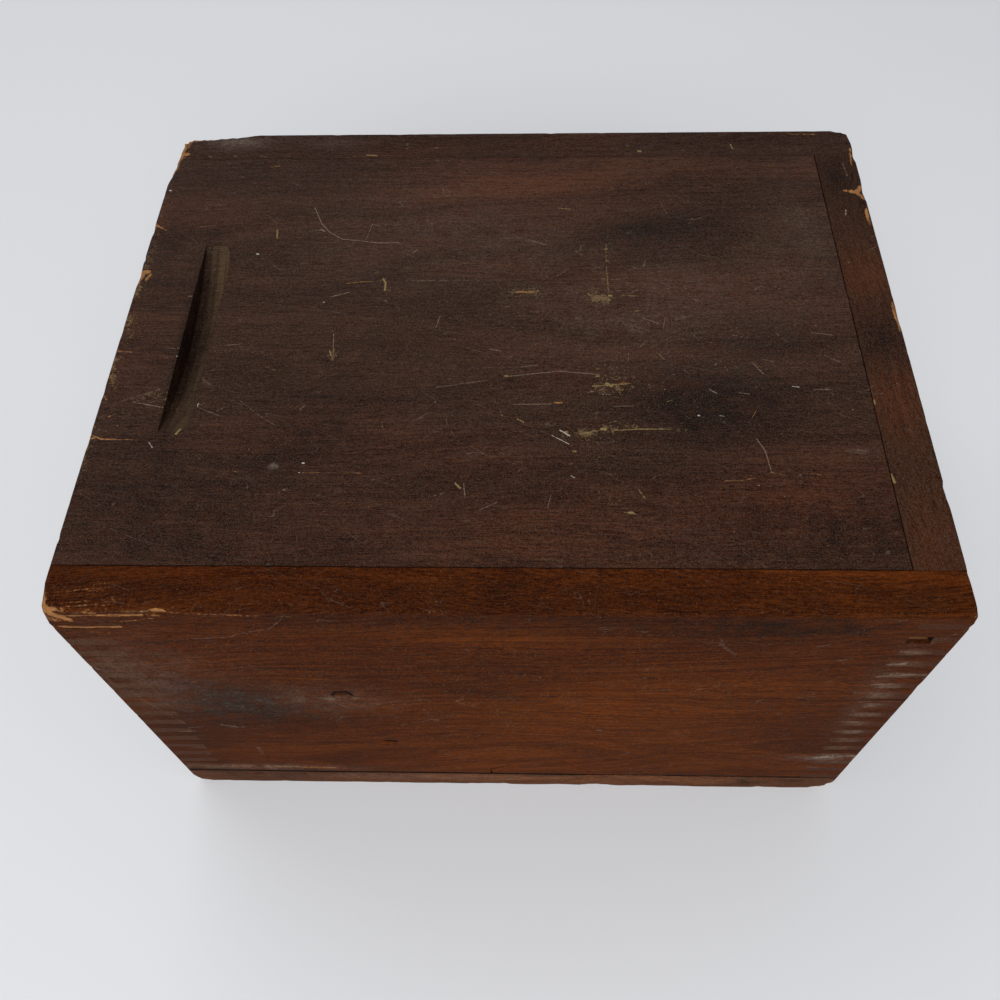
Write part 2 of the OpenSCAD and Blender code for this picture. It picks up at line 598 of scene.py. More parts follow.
    def _rings(self, add: Add, bent: Socket, shift: tuple[float, float, float]) -> Socket:
        """Draws the growth rings round the heart of the tree.

        Args:
            add: Adds a node to the material.
            bent: Place in the tree, with the wandering of the grain.
            shift: How far this board lies from the other boards in the tree, in millimetres.

        Returns:
            The rings, from 0 to 1.
        """
        heart = (0, self.pith[0] + shift[1], self.pith[1] + shift[2])
        away = add("VectorMath", {0: bent, 1: heart}, operation="SUBTRACT")
        across = add("VectorMath", {0: away, 1: (0, 1, 1)}, operation="MULTIPLY")
        radius = add("VectorMath", {0: across}, LENGTH, operation="LENGTH")
        count = add("Math", {0: radius, 1: 1 / self.ring_spacing}, operation="MULTIPLY")
        return add("TexNoise", {1: count, 2: 1.0, 3: 2.0, 4: 0.6}, noise_dimensions="1D")

    def _shade(self, add: Add, hex_colour: str, pattern: Socket, span: tuple[float, float]) -> Socket:
        """Varies a colour's lightness with a pattern.

        Args:
            add: Adds a node to the material.
            hex_colour: The colour.
            pattern: The pattern.
            span: What the colour is multiplied by where the pattern is low and where it is high.

        Returns:
            The colour.
        """
        factor = add("MapRange", {0: pattern, 1: 0.32, 2: 0.68, 3: span[0], 4: span[1]})
        return add("VectorMath", {0: linear(hex_colour)[:3], "Scale": factor}, operation="SCALE")

    def _ragged(self, add: Add, seen: Patterns, name: str, most: float) -> Socket:
        """Breaks up the edges of what the mesh marks.

        Args:
            add: Adds a node to the material.
            seen: The board's patterns.
            name: The mesh attribute.
            most: The most that the mark covers.

        Returns:
            How far the mark covers what is under it.
        """
        mark = seen.mesh[name]
        centred = add("Math", {0: seen.broken, 1: 0.5}, operation="SUBTRACT")
        torn = add("Math", {0: centred, 1: 1.6, 2: mark}, operation="MULTIPLY_ADD")
        cover = add("MapRange", {0: torn, 1: 0.34, 2: 0.62, 4: most})
        return add("Math", {0: cover, 1: mark}, operation="MULTIPLY", use_clamp=True)

    def _stained(self, add: Add, seen: Patterns) -> Socket:
        """Colours the varnished wood: fibres, bands, redder clouds and smudges of grime and painted
        shade.

        Args:
            add: Adds a node to the material.
            seen: The board's patterns.

        Returns:
            The colour.
        """
        both = add("Mix", {0: self.fibre_share, 2: seen.rings, 3: seen.fibres})
        band = add("Mix", {0: self.grit_share, 2: both, 3: seen.grit})
        band = add("MapRange", {0: band, 1: 0.5 - self.softness, 2: 0.5 + self.softness})
        colour = add("Mix", {0: band, 6: linear(self.dark), 7: linear(self.light)}, **OF_COLOURS)
        pitted = add("MapRange", {0: seen.broken, 1: 0.3, 2: 0.7, 3: 0.68, 4: 1.34})
        colour = add("VectorMath", {0: colour, "Scale": pitted}, operation="SCALE")
        long = add("VectorMath", {0: seen.wood, 1: (0.01, 0.034, 0.034)}, operation="MULTIPLY")
        cloud = add("TexNoise", {0: long, 2: 1.0, 3: 2.0, 4: 0.6})
        red = add("MapRange", {0: cloud, 1: 0.45, 2: 0.68, 4: self.cloudiness})
        warm = add("Math", {0: seen.mesh["warm"], 1: red}, operation="ADD", use_clamp=True)
        redder = self._shade(add, self.warm, band, (0.62, 1.25))
        colour = add("Mix", {0: warm, 6: colour, 7: redder}, **OF_COLOURS)
        smudge = add("MapRange", {0: seen.patchy, 1: 0.36, 2: 0.66, 3: 0.3, 4: 0.75})
        weight = add("Math", {0: seen.mesh["dark"], 1: 0.1}, operation="ADD")
        dark = add("Math", {0: weight, 1: smudge}, operation="MULTIPLY")
        dark = add("Math", {0: dark, 1: 0.85}, operation="MINIMUM")
        return add("Mix", {0: dark, 6: colour, 7: linear(self.grime)}, **OF_COLOURS)

    def _ends_and_inside(self, add: Add, seen: Patterns, colour: Socket) -> Socket:
        """Gives end grain its speckled look, and leaves the inside unvarnished and lighter.

        Args:
            add: Adds a node to the material.
            seen: The board's patterns.
            colour: The colour of the varnished wood.

        Returns:
            The colour with the end grain, the raw wood and the grip's floor: rubbed wood and painted
            light.
        """
        speck = add("Mix", {0: 0.6, 2: seen.fibres, 3: seen.grit})
        speck = add("MapRange", {0: speck, 1: 0.36, 2: 0.64})
        ends = {0: speck, 6: linear(self.end_dark), 7: linear(self.end_light)}
        both = add("Mix", {0: 0.6, 2: seen.rings, 3: seen.fibres})
        lengthwise = add("VectorMath", {0: seen.point, 1: (1.1, 0.05, 0.1)}, operation="MULTIPLY")
        gouged = add("TexNoise", {0: lengthwise, 2: 1.0, 3: 2.0, 4: 0.7})
        for name, other in (
            ("endgrain", add("Mix", ends, **OF_COLOURS)),
            ("raw", self._shade(add, self.raw, both, (0.7, 1.25))),
            # the finger grip's floor: rubbed wood, lightened as painted light
            ("hollow", self._shade(add, self.hollow, gouged, (0.5, 1.4))),
        ):
            colour = add("Mix", {0: seen.mesh[name], 6: colour, 7: other}, **OF_COLOURS)
        return colour

    def _scuffed(self, add: Add, seen: Patterns, colour: Socket) -> Socket:
        """Lays on pale bloom and painted sheen, thin rubbed edges and hair scratches.

        Args:
            add: Adds a node to the material.
            seen: The board's patterns.
            colour: The colour so far.

        Returns:
            The scuffed colour.
        """
        # pale haze: bloom, and on the lid a painted sheen
        crumbs = add("MapRange", {0: seen.broken, 1: 0.25, 2: 0.7})
        areas = add("MapRange", {0: seen.patchy, 1: 0.36, 2: 0.6, 3: 0.25})
        uneven = add("Math", {0: crumbs, 1: areas}, operation="MULTIPLY")
        haze = add("Math", {0: seen.mesh["haze"], 1: uneven}, operation="MULTIPLY", use_clamp=True)
        colour = add("Mix", {0: haze, 6: colour, 7: linear(self.scuff_and_sheen)}, **OF_COLOURS)
        rub = add("Math", {0: seen.mesh["worn"], 1: seen.patchy}, operation="MULTIPLY")
        rub = add("MapRange", {0: rub, 1: 0.12, 2: 0.6, 4: 0.45})
        colour = add("Mix", {0: rub, 6: colour, 7: linear(self.rubbed)}, **OF_COLOURS)
        lines = []
        for turn, swirls_per_mm in ((0.3, (0.012, 0.1, 0.1)), (-1.0, (0.03, 0.16, 0.16))):
            turned = add("Mapping", {0: seen.point, 2: (turn, 0, turn)})
            thin = add("VectorMath", {0: turned, 1: swirls_per_mm}, operation="MULTIPLY")
            swirl = add("TexNoise", {0: thin, 2: 1.0, 3: 1.0, 4: 0.5})
            off = add("Math", {0: swirl, 1: 0.5}, operation="SUBTRACT")
            size = add("Math", {0: off}, operation="ABSOLUTE")
            lines.append(add("MapRange", {0: size, 1: 0.0, 2: 0.003, 3: 1.0, 4: 0.0}))
        cover = add("Math", dict(enumerate(lines)), operation="MAXIMUM")
        some = add("MapRange", {0: seen.patchy, 1: 0.48, 2: 0.66, 3: 0.04, 4: 0.55})
        some = add("Math", {0: some, 1: seen.broken}, operation="MULTIPLY")
        hair = add("Math", {0: cover, 1: some}, operation="MULTIPLY")
        return add("Mix", {0: hair, 6: colour, 7: linear(self.hair)}, **OF_COLOURS)

    def _speckled(self, add: Add, seen: Patterns, colour: Socket) -> Socket:
        """Sprinkles on grains of dust and painted sheen, and specks of wax.

        Args:
            add: Adds a node to the material.
            seen: The board's patterns.
            colour: The colour so far.

        Returns:
            The speckled colour.
        """
        # Grains that lighten or darken the colour: dust, and glints of sheen painted into it
        grains = add("TexNoise", {0: seen.point, 2: self.speckle_per_mm, 3: 1.0, 4: 0.5})
        change = {0: grains, 1: self.speckle, 2: -0.5 * self.speckle}
        spread = add("Math", change, operation="MULTIPLY_ADD")
        colour = add("VectorMath", {0: colour, 1: spread}, operation="ADD")
        colour = add("VectorMath", {0: colour, 1: (self.blackest,) * 3}, operation="MAXIMUM")
        dust = add("TexNoise", {0: seen.point, 2: self.dust_per_mm, 3: 3.0, 4: 0.8})
        areas = add("MapRange", {0: seen.patchy, 1: 0.4, 2: 0.62})
        area = add("Math", {0: seen.mesh["specks"], 1: areas}, operation="MULTIPLY")
        dust = add("Math", {0: area, 1: 0.13, 2: dust}, operation="MULTIPLY_ADD")
        specks = add("MapRange", {0: dust, 1: 0.645, 2: 0.78, 4: 0.5})
        return add("Mix", {0: specks, 6: colour, 7: linear(self.wax)}, **OF_COLOURS)

    def _bare(self, add: Add, seen: Patterns) -> Socket:
        """Finds where the finish has gone and tan wood shows, torn along the fibres.

        Args:
            add: Adds a node to the material.
            seen: The board's patterns.

        Returns:
            How bare the wood is, from 0 to 1.
        """
        lost = add("MapRange", {0: seen.mesh["worn"], 1: 0.5, 2: 1.2})
        both = add("Math", {0: lost, 1: seen.mesh["bare"]}, operation="ADD")
        edge = add("Math", {0: seen.broken, 1: seen.fibres}, operation="ADD")
        edge = add("Math", {0: edge, 1: 1.0}, operation="SUBTRACT")
        torn = add("Math", {0: edge, 1: 1.3, 2: both}, operation="MULTIPLY_ADD")
        return add("MapRange", {0: torn, 1: 0.36, 2: 0.74, 4: 0.95})

    def _surface(self, add: Add, seen: Patterns, colour: Socket, bare: Socket) -> None:
        """Joins colour, sheen and relief into the finished surface.

        Args:
            add: Adds a node to the material.
            seen: The board's patterns.
            colour: The finished colour.
            bare: How bare the wood is.
        """
        dull = add("Math", {0: bare, 1: seen.mesh["raw"]}, operation="MAXIMUM")
        smooth, coarse = self.roughness - 0.07, self.roughness + 0.12
        varied = add("MapRange", {0: seen.grit, 1: 0.3, 2: 0.7, 3: smooth, 4: coarse})
        rough = add("Mix", {0: dull, 2: varied, 3: self.bare_roughness})
        height = add("Math", {0: seen.pores, 1: -0.7, 2: seen.fibres}, operation="MULTIPLY_ADD")
        height = add("Math", {0: seen.grit, 1: 0.35, 2: height}, operation="MULTIPLY_ADD")
        normal = add("Bump", {0: 0.8, 1: self.relief, "Height": height})
        look = {
            "Base Color": colour,
            "Roughness": rough,
            "Normal": normal,
            "IOR": 1.45,
            "Specular IOR Level": self.sheen,
            "Specular Tint": linear(self.gloss),
        }
        add("OutputMaterial", {0: add("BsdfPrincipled", look)})


@dataclass(frozen=True)
class RustyIron:
    """Wire nail iron: dark grey scale with orange-brown rust in it, dull and slightly rough."""

    name: str = "rusty_nail_iron"
    scale_colour: str = "#3b3734"
    rust_colour: str = "#5e3420"
    rust_per_mm: float = 1.1  # spots of rust about 0.9 mm across
    roughness: float = 0.62
    relief: float = 0.1 * MM

    def build(self) -> bpy.types.Material:
        """Makes the material.

        Returns:
            The material.
        """
        material, add = new_material(self.name)
        place = add("TexCoord", {}, OBJECT_PLACE)
        point = add("Mapping", {0: place, 3: (PER_METRE,) * 3})
        spots = add("TexNoise", {0: point, 2: self.rust_per_mm, 3: 4.0, 4: 0.65})
        cover = add("MapRange", {0: spots, 1: 0.42, 2: 0.6})
        pair = {0: cover, 6: linear(self.scale_colour), 7: linear(self.rust_colour)}
        look = {
            "Base Color": add("Mix", pair, **OF_COLOURS),
            "Metallic": add("MapRange", {0: cover, 3: 0.8, 4: 0.0}),
            "Roughness": self.roughness,
            "Normal": add("Bump", {0: 0.6, 1: self.relief, "Height": spots}),
        }
        add("OutputMaterial", {0: add("BsdfPrincipled", look)})
        return material


def spaced(low: float, high: float, pitch: float, fine: Iterable[float]) -> list[float]:
    """Places the cuts across a board's mesh: evenly, and closer beside its worn edges.

    Args:
        low: Where the board starts, in millimetres.
        high: Where it ends.
        pitch: Distance between the even cuts.
        fine: Places of the closer cuts.

    Returns:
        All places between the two ends, in order.
    """
    places = sorted({place for place in fine if low + MARGIN < place < high - MARGIN})
    stops = [low, *places, high]
    for start, stop in zip(stops, stops[1:]):
        count = round((stop - start) / pitch)
        places += [start + (stop - start) * i / count for i in range(1, count)]
    return sorted(places)


def clear_of(corners: Sequence[float], place: float) -> float:
    """Moves a cut a hair along where it would run through corners that the mesh already has.

    Args:
        corners: Where the mesh has corners, in order, in millimetres.
        place: Where the cut is wanted.

    Returns:
        Where the cut is made.
    """
    near, hair = 0.02, 0.045
    at = bisect(corners, place - near)
    return place + hair if at < len(corners) and corners[at] < place + near else place


def cut(faces: Iterable[bmesh.types.BMFace], place: Vector, square: Vector) -> tuple[Faces, Faces]:
    """Cuts faces along a plane.

    Args:
        faces: Faces of one mesh.
        place: A point of the plane, in millimetres.
        square: The direction that the plane is square to.

    Returns:
        The faces behind the plane, and those in front of it.
    """
    level = place.dot(square) * MM
    sides: tuple[Faces, Faces] = ([], [])
    for face in faces:
        gaps = [vert.co.dot(square) - level for vert in face.verts]
        if min(gaps) > -TINY:
            sides[1].append(face)
        elif max(gaps) < TINY:
            sides[0].append(face)
        else:
            for piece in split(face, level, square):
                sides[piece.calc_center_median().dot(square) > level].append(piece)
    return sides


def split(face: bmesh.types.BMFace, level: float, square: Vector) -> Faces:
    """Splits one face that a plane crosses.

    Args:
        face: The face.
        level: How far the plane lies along its direction, in metres.
        square: The direction that it is square to.

    Returns:
        The pieces of the face.
    """
    ring = [(loop.edge, loop.vert, loop.link_loop_next.vert) for loop in face.loops]
    for edge, first, second in ring:
        start, stop = first.co.dot(square) - level, second.co.dot(square) - level
        if min(start, stop) < -TINY and max(start, stop) > TINY:
            bmesh.utils.edge_split(edge, first, start / (start - stop))
    met = [vert for vert in face.verts if abs(vert.co.dot(square) - level) <= TINY]
    if len(met) > 2:
        face.normal_update()
        line = face.normal.cross(square)
        met.sort(key=lambda vert: vert.co.dot(line))
    pieces = [face]
    for first, second in zip(met[::2], met[1::2]):
        home = next(piece for piece in pieces if first in piece.verts and second in piece.verts)
        if not any(edge.other_vert(first) is second for edge in first.link_edges):
            pieces.append(bmesh.utils.face_split(home, first, second)[0])
    return pieces


def slice_up(faces: Faces, axis: int, places: Sequence[float]) -> None:
    """Cuts faces at many places along an axis, halving the job each time.

    Args:
        faces: Faces of one mesh.
        axis: The axis.
        places: Where to cut, in order, in millimetres.
    """
    if not places or not faces:
        return
    middle = len(places) // 2
    square = Vector([float(axis == i) for i in range(3)])
    behind, ahead = cut(faces, square * places[middle], square)
    slice_up(behind, axis, places[:middle])
    slice_up(ahead, axis, places[middle + 1 :])


@dataclass
class FaceGrid:
    """Outer faces of a board sorted into square cells, so that those near a mark are soon found."""

    face: Face
    size: float = 6.0  # of a cell, in millimetres
    cells: dict[tuple[int, int], dict] = field(default_factory=lambda: defaultdict(dict))

    def add(self, faces: Iterable[bmesh.types.BMFace]) -> None:
        """Sorts faces into the cells.

        Args:
            faces: Faces that lie on the outer face.
        """
        for part in faces:
            middle = part.calc_center_median() * PER_METRE
            column, row = (int(middle[axis] // self.size) for axis in (self.face.along, self.face.up))
            self.cells[column, row][part] = True

    def near(self, start: Vector, end: Vector, reach: float) -> Faces:
        """Lists the faces that lie within reach of a line.

        Args:
            start: One end of the line, in millimetres.
            end: The other end.
            reach: How far from it to look.

        Returns:
            The faces, in a steady order.
        """
        spans = []
        for axis in (self.face.along, self.face.up):
            low, high = sorted((start[axis], end[axis]))
            spans.append(range(int((low - reach) // self.size), int((high + reach) // self.size) + 1))
        close = {}
        for column in spans[0]:
            for row in spans[1]:
                close.update(self.cells.get((column, row), {}))
        return [
            part
            for part in close
            if away_from(part.calc_center_median() * PER_METRE, start, end) < reach
        ]


def away_from(point: Vector, start: Vector, end: Vector) -> float:
    """Measures how far a point is from a straight line between two others.

    Args:
        point: The point.
        start: One end of the line.
        end: Its other end.

    Returns:
        The distance.
    """
    span = end - start
    share = max(0.0, min(1.0, (point - start).dot(span) / span.length_squared))
    return (point - start - span * share).length


@dataclass
class Board:
    """One board of the box: a finer, worn copy of its solid."""

    node: str  # the CAD node that it stands for
    slot: str  # the record's material slot; not used
    finish: AgedWood
    grain: Grain
    pitch: tuple[float, float, float]  # between mesh cuts along X, Y and Z, in millimetres
    seams: tuple[Seam, ...]  # edges along which it meets other boards
    patches: dict[Face, tuple[Patch, ...]]
    marks: dict[Face, tuple[Mark, ...]]
    sizes: BoxSizes
    wear: EdgeWear
    body: str = "box"  # the CAD body that it rides on
    wave: float = 0.12  # how far its faces have shrunk and been planed out of flat, in mm
    wave_span: float = 34.0  # size of the hollows in its faces
    finger_sink: float = 0.05  # how far its fingers' ends lie under the faces round them
    flat_rim: float = 4.0  # width of the rim over which its faces come up to their edges
    sharp_angle: float = math.radians(28)

    @property
    def end_axis(self) -> int:
        """The axis that the ends of its fingers, and its end grain, look along."""
        return 1 if self.grain is Grain.ACROSS_BOX else 0

    def make(self) -> bpy.types.Object:
        """Builds, wears and dresses the board, and puts it in the CAD node's place.

        Returns:
            The board.
        """
        shape = self._fine_shape()
        for name in ("worn", *(trace.layer for trace in Trace)):
            shape.verts.layers.float.new(name)
        self._wear(shape)
        for face, marks in self.marks.items():
            self._work_in(shape, face, marks)
        self._sink_marks(shape)
        mesh = bpy.data.meshes.new(f"worn_{self.node}")
        shape.to_mesh(mesh)
        shape.free()
        mesh.shade_smooth()
        mesh.set_sharp_from_angle(angle=self.sharp_angle)
        self._paint(mesh)
        piece = bpy.data.objects.new(mesh.name, mesh)
        bpy.context.scene.collection.objects.link(piece)
        mesh.materials.append(self.finish.build(self.grain))
        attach(piece, self.body)
        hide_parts(self.node)
        LOG.info("%s: %d faces", piece.name, len(mesh.polygons))
        return piece

    def _fine_shape(self) -> bmesh.types.BMesh:
        """Copies the board's solid and cuts it finely, most finely beside its edges.

        Returns:
            The mesh, in metres.
        """
        shape = bmesh.new()
        shape.from_mesh(bpy.data.objects[self.node].data)
        bmesh.ops.remove_doubles(shape, verts=shape.verts, dist=0.002 * MM)
        bmesh.ops.dissolve_limit(
            shape, angle_limit=math.radians(0.5), verts=shape.verts, edges=shape.edges
        )
        half = self.sizes.half
        outer = ((-half.x, half.x), (-half.y, half.y), (0.0, half.z))
        low, high = (Vector(corner) * PER_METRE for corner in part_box(self.node))
        for axis in range(3):
            fine = [outer[axis][0] + step for step in EDGE_STEPS]
            fine += [outer[axis][1] - step for step in EDGE_STEPS]
            for seam in self.seams:
                for own_axis, place, side in zip(seam.axes, seam.at, seam.outward):
                    if own_axis == axis:
                        fine += [place - side * step for step in SEAM_STEPS]
            corners = sorted(vert.co[axis] * PER_METRE for vert in shape.verts)
            places = spaced(low[axis], high[axis], self.pitch[axis], fine)
            slice_up(shape.faces[:], axis, [clear_of(corners, place) for place in places])
        return shape

    def _wear(self, shape: bmesh.types.BMesh) -> None:
        """Moves the mesh's points to their worn places and notes how much each one lost.

        Args:
            shape: The board's mesh.
        """
        lost = shape.verts.layers.float["worn"]
        for vert in shape.verts:
            point = vert.co * PER_METRE
            moved = self.wear.worn(point)
            for seam in self.seams:
                moved = seam.worn(moved)
            vert[lost] = (moved - point).length
            vert.co = self._hollowed(moved, point) * MM

    def _hollowed(self, moved: Vector, point: Vector) -> Vector:
        """Sinks outer faces a little, as planing, shrinking and old fingers leave them.

        Args:
            moved: Where wear has put the point, in millimetres.
            point: Where it was on the unworn board.

        Returns:
            Where it lies in the end.
        """
        half = self.sizes.half
        sunk = moved.copy()
        swell = 0.5 + 0.5 * noise.noise(point / self.wave_span + Vector((5.0, 1.0, 9.0)))
        for axis in range(2):
            under = half[axis] - abs(point[axis])
            if under < ON_FACE:
                other = min(half[1 - axis] - abs(point[1 - axis]), half.z - point.z, point.z)
                ease = max(0.0, min(1.0, other / self.flat_rim))
                depth = (self.wave * swell + self._finger_sink(axis, point)) * ease
                sunk[axis] -= math.copysign(depth, point[axis])
        if half.z - point.z < ON_FACE:
            other = min(half.x - abs(point.x), half.y - abs(point.y))
            sunk.z -= self.wave * swell * max(0.0, min(1.0, other / self.flat_rim))
        return sunk

    def _finger_sink(self, axis: int, point: Vector) -> float:
        """Finds how deep the end of one of this board's fingers lies under the face round it.

        Args:
            axis: The axis that the face looks along.
            point: A point of the face, in millimetres.

        Returns:
            The depth, in millimetres.
        """
        if axis != self.end_axis:
            return 0.0
        row = math.floor((self.sizes.height - point.z) / self.sizes.finger)
        return self.finger_sink * (1 + noise.noise(Vector((row * 3.7, self.finish.seed, 0.5))))

    def _work_in(self, shape: bmesh.types.BMesh, face: Face, marks: Sequence[Mark]) -> None:
        """Cuts marks into the mesh, so that each has points of its own, and notes their strength.

        Args:
            shape: The board's mesh.
            face: The face that they are on.
            marks: The marks.
        """
        out = Vector([float(axis == face.through) for axis in range(3)]) * face.side
        plane = self.sizes.on_face(face, (0, 0))[face.through]
        grid = FaceGrid(face)
        shape.faces.index_update()
        shape.normal_update()
        grid.add(
            part
            for part in shape.faces
            if part.normal.dot(out) > 0.6
            and abs(part.calc_center_median()[face.through] * PER_METRE - plane) < 1.6
        )
        for mark in marks:
            layer = shape.verts.layers.float[mark.trace.layer]
            points = [self.sizes.on_face(face, place) for place in mark.path]
            if len(points) == 1:
                nudge = Vector((mark.width * 0.3, 0, 0))
                points = [points[0] - nudge, points[0] + nudge]
            for start, end in zip(points, points[1:]):
                self._work_in_line(grid, (start, end, out), mark, layer)

    def _work_in_line(
        self,
        grid: FaceGrid,
        line: tuple[Vector, Vector, Vector],
        mark: Mark,
        layer: bmesh.types.BMLayerItem,
    ) -> None:
        """Cuts one straight stretch of a mark into the mesh.

        Args:
            grid: The faces that it may touch.
            line: Its start, its end, and the way that the face looks.
            mark: The mark.
            layer: The layer that holds the mark's strength.
        """
        start, end, out = line
        reach = mark.width * 0.55
        faces = grid.near(start, end, reach + max(self.pitch) * 0.75)
        if not faces:
            return
        along = (end - start).normalized()
        side = out.cross(along)
        planes = [(start + side * reach * offset, side) for offset in (-1, -0.45, 0, 0.45, 1)]
        ends = (start - along * reach, start, end, end + along * reach)
        for place, square in planes + [(place, along) for place in ends]:
            faces = sum(cut(faces, place, square), [])
        grid.add(faces)
        for vert in {vert: None for face in faces for vert in face.verts}:
            point = vert.co * PER_METRE
            flat = point - out * (point - start).dot(out)
            fall = 1 - away_from(flat, start, end) / reach
            if fall > 0:
                vert[layer] = max(vert[layer], mark.strength * fall ** 0.7)

    def _sink_marks(self, shape: bmesh.types.BMesh) -> None:
        """Sinks or raises each mark by the depth of its kind.

        Args:
            shape: The board's mesh.
        """
        shape.normal_update()
        kinds = [(shape.verts.layers.float[trace.layer], trace.depth) for trace in Trace]
        for vert in shape.verts:
            depth = sum(vert[layer] * deep for layer, deep in kinds)
            if depth:
                vert.co -= vert.normal * depth * MM

    def _paint(self, mesh: bpy.types.Mesh) -> None:
        """Notes on the mesh where it is raw or end grain, and where soft areas and grime lie.

        Args:
            mesh: The board's mesh.
        """
        points = np.empty(len(mesh.vertices) * 3, np.float32)
        mesh.vertices.foreach_get("co", points)
        points = points.reshape(-1, 3) * PER_METRE
        values = {name: np.zeros(len(points)) for name in ("warm", "dark", "specks", "seam")}
        for name in ("bare", "haze"):
            values[name] = np.zeros(len(points), np.float32)
            mesh.attributes[name].data.foreach_get("value", values[name])
        for face, patches in self.patches.items():
            for patch in patches:
                name = patch.tone.value
                values[name] = values[name] + self._spread(face, patch, points)
        for seam in self.seams:
            values["seam"] = np.maximum(values["seam"], seam.grime_at(points))
        centres = np.empty(len(mesh.polygons) * 3, np.float32)
        normals = np.empty(len(mesh.polygons) * 3, np.float32)
        mesh.polygons.foreach_get("center", centres)
        mesh.polygons.foreach_get("normal", normals)
        kinds = self._kinds(centres.reshape(-1, 3) * PER_METRE, normals.reshape(-1, 3))
        for domain, layers in (("POINT", values), ("FACE", kinds)):
            for name, numbers in layers.items():
                if name not in mesh.attributes:
                    mesh.attributes.new(name, "FLOAT", domain)
                numbers = np.asarray(numbers, np.float32)
                mesh.attributes[name].data.foreach_set("value", numbers)

    def _spread(self, face: Face, patch: Patch, points: np.ndarray) -> np.ndarray:
        """Spreads a soft area over the points near its face.

        Args:
            face: The face.
            patch: The soft area.
            points: Points of the board's surface, in millimetres.

        Returns:
            How strong the area is at each of them.
        """
        deepest = 9.0
        gap = points - np.array(self.sizes.on_face(face, patch.at))
        turn = math.radians(patch.turn)
        first = gap[:, face.along] * math.cos(turn) + gap[:, face.up] * math.sin(turn)
        second = gap[:, face.up] * math.cos(turn) - gap[:, face.along] * math.sin(turn)
        fall = np.exp(-((first / patch.reach[0]) ** 2) - (second / patch.reach[1]) ** 2)
        return np.where(np.abs(gap[:, face.through]) < deepest, fall * patch.strength, 0)

    def _kinds(self, centres: np.ndarray, normals: np.ndarray) -> dict[str, np.ndarray]:
        """Finds the faces never varnished, those where fingers end outside, and the grip's floor.

        Args:
            centres: The middles of the mesh's faces, in millimetres.
            normals: The ways that they look.

        Returns:
            For each of the three, how far each face belongs to it, from 0 to 1.
        """
        box = self.sizes
        x, y, z = centres.T
        top = box.groove_floor + box.finger
        rim = 1.5  # millimetres by which the varnish runs into the ends of the grooves
        inside = (np.abs(y) < box.inner_y + MARGIN) & (x > box.lid_end_x - MARGIN)
        inside &= (x < box.closed_x + MARGIN) & (z > box.bottom - MARGIN) & (z < top)
        groove = (z > box.groove_floor - MARGIN) & (z < top) & (np.abs(y) < box.half.y - rim)
        groove &= (x > rim - box.half.x) & (x < box.closed_x + box.groove)
        axis = self.end_axis
        outer = box.half[axis] - np.abs(centres[:, axis]) < 1.2
        grip = (np.abs(x - box.grip_at) < box.grip_width / 2 + 0.3) & (z < box.height - 0.3)
        grip &= (normals[:, 2] > 0.2) & (z > top)
        # Painted light on the grip's floor: lighter towards its ends and its right side, over rubbed
        # wood
        rubbed = np.clip(0.3 + 0.6 * np.abs(y) / 40, 0, 0.85)
        rubbed = rubbed * np.clip(0.75 + (x - box.grip_at) / 5, 0.1, 1)
        return {
            "raw": inside | groove | (z < 0.05),
            "endgrain": outer & (np.abs(normals[:, axis]) > 0.7),
            "hollow": grip * rubbed,
        }


def listed(trace: Trace, *lines: tuple) -> tuple[Mark, ...]:
    """Lists marks of one kind.

    Args:
        trace: Their kind.
        *lines: For each mark its width in millimetres, its strength, and the places along it.

    Returns:
        The marks.
    """
    return tuple(Mark(trace, tuple(path), width, strength) for width, strength, *path in lines)


def strewn_marks(
    low: Place,
    high: Place,
    count: int,
    seed: int,
    longest: float = 24.0,
    turns: float = 0.7,
    smudged: bool = True,
) -> tuple[Mark, ...]:
    """Strews faint scratches, scuffs and dabs over part of a face, the same ones each time.

    Args:
        low: The part's near left or lower corner.
        high: Its opposite corner.
        count: How many marks to make.
        seed: The number that they are drawn from.
        longest: The length of the longest scratch in millimetres.
        turns: How widely the scratches turn away from the grain, in radians.
        smudged: Whether scuffs are among them.

    Returns:
        The marks.
    """
    draw = random.Random(seed)
    marks = []
    for _ in range(count):
        start = tuple(draw.uniform(least + 3, most - 3) for least, most in zip(low, high))
        span, turn = draw.uniform(2, longest), draw.gauss(0, turns)
        end = (start[0] + span * math.cos(turn), start[1] + span * math.sin(turn) * 0.6)
        end = tuple(
            max(least + 1, min(most - 1, place)) for least, most, place in zip(low, high, end)
        )
        scuff_and_sheen = Trace.HAZE if smudged else Trace.SCRATCH
        trace = draw.choice((Trace.SCRATCH, Trace.SCRATCH, Trace.SCRATCH, scuff_and_sheen, Trace.FLECK))
        if trace is Trace.FLECK:
            end = (start[0] + draw.uniform(0.5, 2), start[1] + draw.uniform(-1, 1))
        width = draw.uniform(1.2, 3.2) if trace is Trace.HAZE else draw.uniform(0.4, 0.9)
        marks.append(Mark(trace, (start, end), width, draw.uniform(0.3, 0.75)))
    return tuple(marks)


